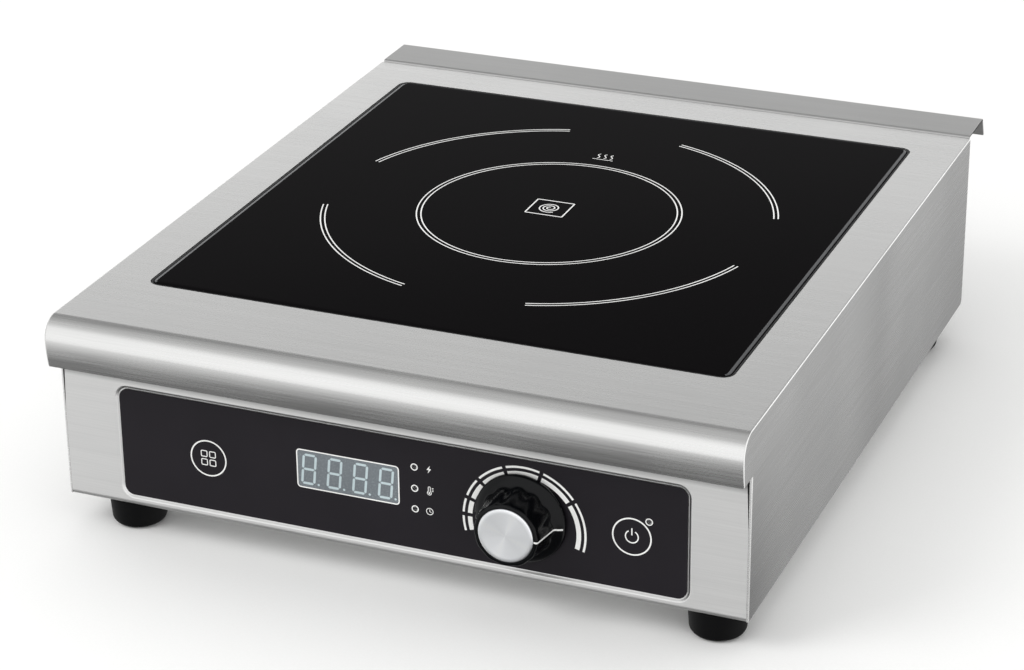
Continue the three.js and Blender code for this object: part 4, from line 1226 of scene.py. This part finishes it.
def mains_plug():
    """A three-pin plug lying on its edge, narrowing to a ribbed collar round the cord."""
    low, high = box("mains_plug")
    centre = middle("mains_plug")
    face = low.x + PIN_LENGTH
    thick, height = high.y - low.y, high.z - low.z
    stations = [(0, 1.2, 5), (0.3, 0.4, 5.6), (1, 0, 6), (15, 0, 6)]
    stations += [(18, 1.5, 6), (22, 5, 6), (26, 9.4, 5.6)]
    rings = []

    def section(along, width, length, corner):
        rings.append(in_side(face + along)(rounded(width, length, corner, 6, (centre.y, centre.z))))

    for along, margin, corner in stations:
        section(along, thick - 0.55 * margin, height - 2 * margin, corner)
    rib, neck = 6.4, 5.4
    for start in (27.5, 30.9, 34.3):
        for along, radius in ((0, neck), (0.4, neck), (0.8, rib), (2.2, rib), (2.6, neck)):
            section(start + along, 2 * radius, 2 * radius, radius - 0.01)
    piece("mains_plug_body", lofted(rings), [SHEATH], "casing", ["mains_plug"], 40)
    mains_plug_pins(low.x, face, centre)


def mains_plug_pins(tip, face, centre):
    radius, spacing, sunk = 2.5, 13, 2
    profile = [(radius - 0.9, tip), (radius - 0.3, tip + 0.4), (radius, tip + 1.2), (radius, face + sunk)]
    places = [about(centre.y, centre.z + shift, in_side) for shift in (-spacing, 0, spacing)]
    pins = gathered([turned(profile, place, 24) for place in places])
    piece("mains_plug_pins", pins, [SCREW_STEEL], "casing", (), 40)


# ---------- studio ----------

CAMERA_AZIMUTH = 22.569
CAMERA_ELEVATION = 24.867
CAMERA_ROLL = -0.649
CAMERA_DISTANCE = 1479.36
CAMERA_TARGET = (-11.39, -17.92, 50)
CAMERA_LENS = 106.908


def camera():
    azimuth, elevation = math.radians(CAMERA_AZIMUTH), math.radians(CAMERA_ELEVATION)
    back = Vector((
        math.sin(azimuth) * math.cos(elevation),
        -math.cos(azimuth) * math.cos(elevation),
        math.sin(elevation),
    ))
    level = Vector((math.cos(azimuth), math.sin(azimuth), 0))
    upright = back.cross(level)
    roll = math.radians(CAMERA_ROLL)
    right = level * math.cos(roll) + upright * math.sin(roll)
    up = back.cross(right)
    data = bpy.data.cameras.new("camera")
    data.lens = CAMERA_LENS
    data.sensor_width = 36
    data.clip_start, data.clip_end = 0.05, 50
    obj = bpy.data.objects.new("camera", data)
    turn = Matrix((right, up, back)).transposed().to_4x4()
    place = (Vector(CAMERA_TARGET) + back * CAMERA_DISTANCE) * MM
    obj.matrix_world = Matrix.Translation(place) @ turn
    bpy.context.scene.collection.objects.link(obj)
    bpy.context.scene.camera = obj


def softbox():
    """A large square light above the front left, aimed at the hob."""
    place = Vector((-1.6, -1.8, 2.2))
    data = bpy.data.lights.new("key_light", "AREA")
    data.size = 1.4
    data.energy = 28
    obj = bpy.data.objects.new("key_light", data)
    obj.location = place
    obj.rotation_mode = "QUATERNION"
    obj.rotation_quaternion = place.to_track_quat("Z", "Y")
    obj.visible_glossy = False
    bpy.context.scene.collection.objects.link(obj)


def floor():
    bm = bmesh.new()
    reach, level = 12, -0.0001
    corners = [(-reach, -reach), (reach, -reach), (reach, reach), (-reach, reach)]
    bm.faces.new([bm.verts.new((x, y, level)) for x, y in corners])
    mesh = bpy.data.meshes.new("floor")
    bm.to_mesh(mesh)
    bm.free()
    mesh.materials.append(floor_paper())
    obj = bpy.data.objects.new("floor", mesh)
    bpy.context.scene.collection.objects.link(obj)
    obj.visible_glossy = False


def studio_world():
    """Pale surroundings, with the light tent that the metal mirrors."""
    world = bpy.data.worlds.new("studio")
    world.use_nodes = True
    bpy.context.scene.world = world
    sky = Nodes(world.node_tree)
    x, y, z = (sky.along(axis, sky.node("TexCoord")) for axis in range(3))

    def rise(value, start, end):
        return sky.node("MapRange", {0: value, 1: start, 2: end}, interpolation_type="SMOOTHSTEP")

    def blend(factor, a, b):
        return sky.node("Mix", {0: factor, 2: a, 3: b}, data_type="FLOAT")

    front_low = 0.13
    front_wall = 1.16
    overhead = 0.55
    rear_wall = 1.3
    rear_high = 0.27
    rear_low = 0.39
    side_window = 1.1
    left_wall = 0.85
    backdrop = 0.95
    front = blend(rise(z, 0.62, 0.92), front_wall, overhead)
    front = blend(rise(z, -0.56, -0.37), front_low, front)
    rear = blend(rise(z, 0.75, 0.95), rear_high, overhead)
    rear = blend(rise(z, 0.27, 0.52), rear_wall, rear)
    rear = blend(rise(z, -0.2, 0.1), rear_low, rear)
    seen = blend(rise(y, -0.3, 0.3), front, rear)
    seen = blend(rise(x, 0.55, 0.75), seen, side_window)
    seen = blend(rise(x, -0.75, -0.5), left_wall, seen)
    glossy_ray = sky.node("LightPath", output=3)
    camera_ray = sky.node("LightPath", output=0)
    background = sky.tree.nodes["Background"]
    background.inputs[0].default_value = (1, 1, 1, 1)
    sky.feed(background.inputs[1], blend(camera_ray, blend(glossy_ray, 1.0, seen), backdrop))


def build():
    finish_cad_nodes()
    top_cover()
    chassis_tray()
    rear_hood()
    glass_plate()
    glass_seal()
    for corner in ("front_left", "front_right", "rear_left", "rear_right"):
        foot(corner)
    control_overlay()
    for name, body in KEYS.items():
        key(name, body)
    for name in LAMPS:
        lamp(name)
    display_window()
    knob_body()
    knob_cap()
    knob_pointer()
    panel_marks()
    key_marks()
    zone_marks()
    power_cord()
    cord_gland()
    mains_plug()
    floor()
    studio_world()
    softbox()
    camera()
    bpy.context.scene.view_settings.view_transform = "Standard"


build()
